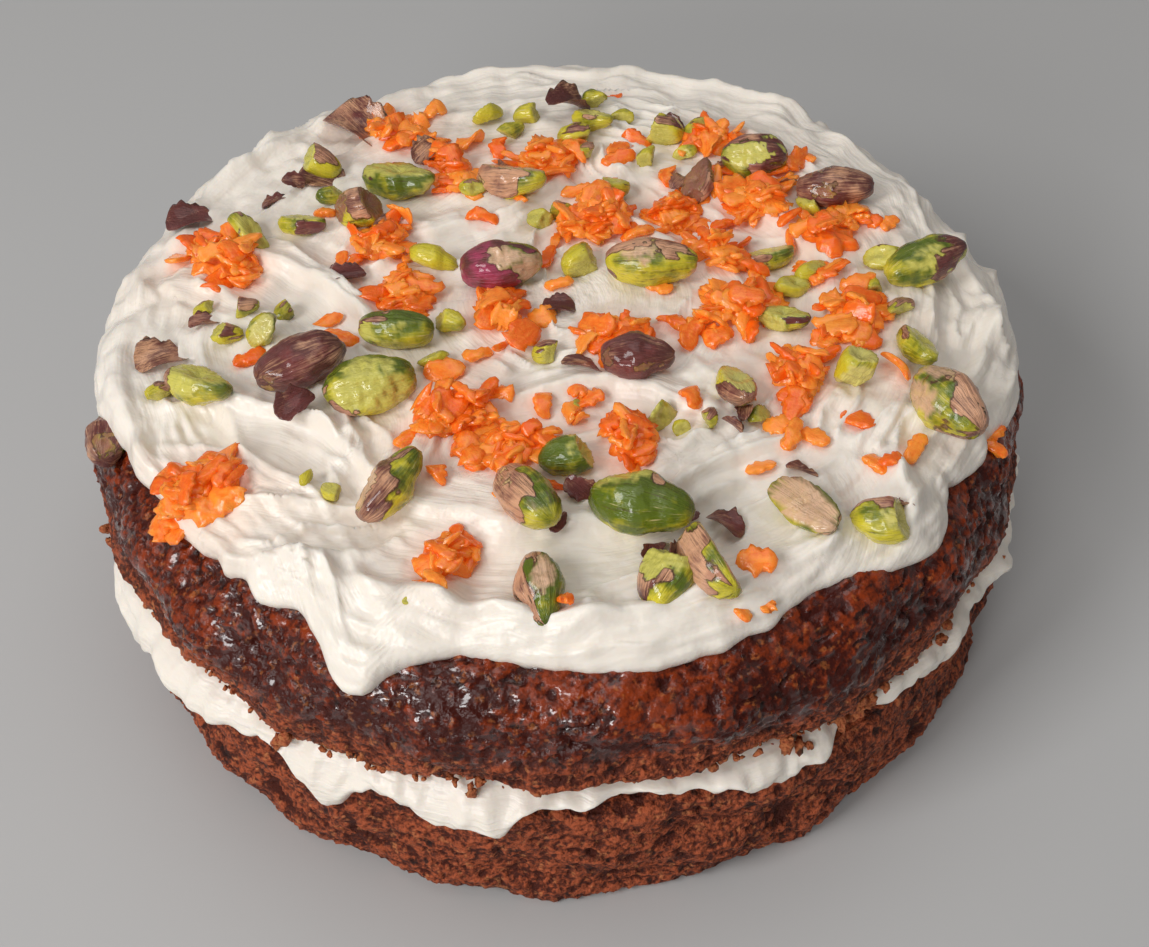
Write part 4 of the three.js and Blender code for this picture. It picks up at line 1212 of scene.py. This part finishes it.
class CAKE_OT_crumbs(bpy.types.Operator):
    """Leaves crumbs along the torn edge of the upper sponge"""

    bl_idname = "cake.crumbs"
    bl_label = "Crumbs"

    def execute(self, context):
        rng = np.random.default_rng(44)
        n = sizes().crumbs
        angle = rng.uniform(0, TURN, n)
        size = rng.uniform(0.5, 1.7, n) * rng.uniform(0.6, 1.0, n)
        radius = CRUMB_RING + rng.normal(0, 0.5, n) + 0.4 * crag(angle, 37)
        z = in_mm("upper_bottom") + rng.normal(1.2, 0.7, n) - torn_drop(angle)
        lumps = CRUMB_LUMPS.T
        angle = np.append(angle, np.radians(lumps[0]))
        radius = np.append(radius, lumps[1] - 0.7)
        z, size = np.append(z, lumps[2]), np.append(size, 0.8 * lumps[3])
        n = len(size)
        uncut = np.tile(CUTS["none"], (n, 1, 1))
        points, _ = kernels(size * 1.6, uncut, 45, rows=8, columns=10)
        points = np.einsum("nij,nrcj->nrci", turn_matrix(*rng.uniform(0, 360, (3, n))), points)
        seat = polar(radius, angle, z)[:, None, None, :]
        knobs = 0.55 * noise(points * 1.3 + seat * 3, 46) + 0.3 * noise(points * 3 + seat * 3, 47)
        points = points * (1 + knobs)[..., None] + seat
        # High relief and torn weights paint the loose crumbs lighter: partly fresh crumb, partly
        # painted light through the thin crumbs
        facts = {"relief": np.full(knobs.shape, 0.7), "torn": np.full(knobs.shape, 0.9)}
        place("loose_crumbs", points, facts, sponge_finish("loose_crumb", False), "sponge")
        return {"FINISHED"}


class CAKE_OT_stage(bpy.types.Operator):
    """Sets the plain floor, the soft lights and the camera"""

    bl_idname = "cake.stage"
    bl_label = "Stage"

    def execute(self, context):
        scene = context.scene
        mesh = bpy.data.meshes.new("floor")
        far = FLOOR_REACH
        corners = [(-far, -far, 0), (far, -far, 0), (far, far, 0), (-far, far, 0)]
        mesh.from_pydata(corners, [], [(0, 1, 2, 3)])
        floor = bpy.data.objects.new("floor", mesh)
        scene.collection.objects.link(floor)
        plain = Finish("plain_floor", base_color=(*colours().floor, 1), roughness=0.6)
        mesh.materials.append(plain.material)

        for name, at, size, power in LIGHTS:
            light = bpy.data.objects.new(name, bpy.data.lights.new(name, "AREA"))
            light.data.size = size
            light.data.energy = power
            light.location = at
            light.rotation_mode = "QUATERNION"
            light.rotation_quaternion = (Vector(at) - Vector(LIGHT_TARGET)).to_track_quat("Z", "Y")
            scene.collection.objects.link(light)
        world = bpy.data.worlds.new("soft_room")
        world.use_nodes = True
        glow = world.node_tree.nodes["Background"].inputs
        glow["Color"].default_value = ROOM_COLOUR
        glow["Strength"].default_value = ROOM_STRENGTH
        scene.world = world
        scene.view_settings.view_transform = "Standard"

        camera = bpy.data.objects.new("camera", bpy.data.cameras.new("camera"))
        camera.data.sensor_width = SENSOR_WIDTH
        camera.data.lens = FOCAL_PIXELS * SENSOR_WIDTH / PICTURE_WIDTH
        camera.data.clip_start = 0.01
        camera.matrix_world = (Matrix.Translation(CAMERA_PLACE)
                               @ Matrix.Rotation(math.radians(CAMERA_TILT), 4, "X")
                               @ Matrix.Rotation(math.radians(CAMERA_ROLL), 4, "Z"))
        scene.collection.objects.link(camera)
        scene.camera = camera
        return {"FINISHED"}


class CAKE_PT_sidebar(bpy.types.Panel):
    """Lists the steps that build the cake"""

    bl_idname = "CAKE_PT_sidebar"
    bl_label = "Carrot cake"
    bl_space_type = "VIEW_3D"
    bl_region_type = "UI"
    bl_category = "Cake"

    def draw(self, context):
        for operator in OPERATORS:
            self.layout.operator(operator.bl_idname)
        for group in (context.scene.cake_sizes, context.scene.cake_colours):
            for name in group.bl_rna.properties.keys():
                if name not in ("rna_type", "name"):
                    self.layout.prop(group, name)


OPERATORS = (CAKE_OT_stage, CAKE_OT_sponges, CAKE_OT_cream, CAKE_OT_pistachios, CAKE_OT_carrot,
             CAKE_OT_chips, CAKE_OT_crumbs)
CLASSES = (CakeSizes, CakeColours, *OPERATORS, CAKE_PT_sidebar)


def register():
    for item in CLASSES:
        bpy.utils.register_class(item)
    bpy.types.Scene.cake_sizes = PointerProperty(type=CakeSizes)
    bpy.types.Scene.cake_colours = PointerProperty(type=CakeColours)


def unregister():
    del bpy.types.Scene.cake_colours
    del bpy.types.Scene.cake_sizes
    for item in reversed(CLASSES):
        bpy.utils.unregister_class(item)


def main():
    register()
    bpy.ops.cake.stage()
    bpy.ops.cake.sponges()
    bpy.ops.cake.cream()
    bpy.ops.cake.pistachios()
    bpy.ops.cake.carrot()
    bpy.ops.cake.chips()
    bpy.ops.cake.crumbs()


if __name__ == "__main__":
    main()
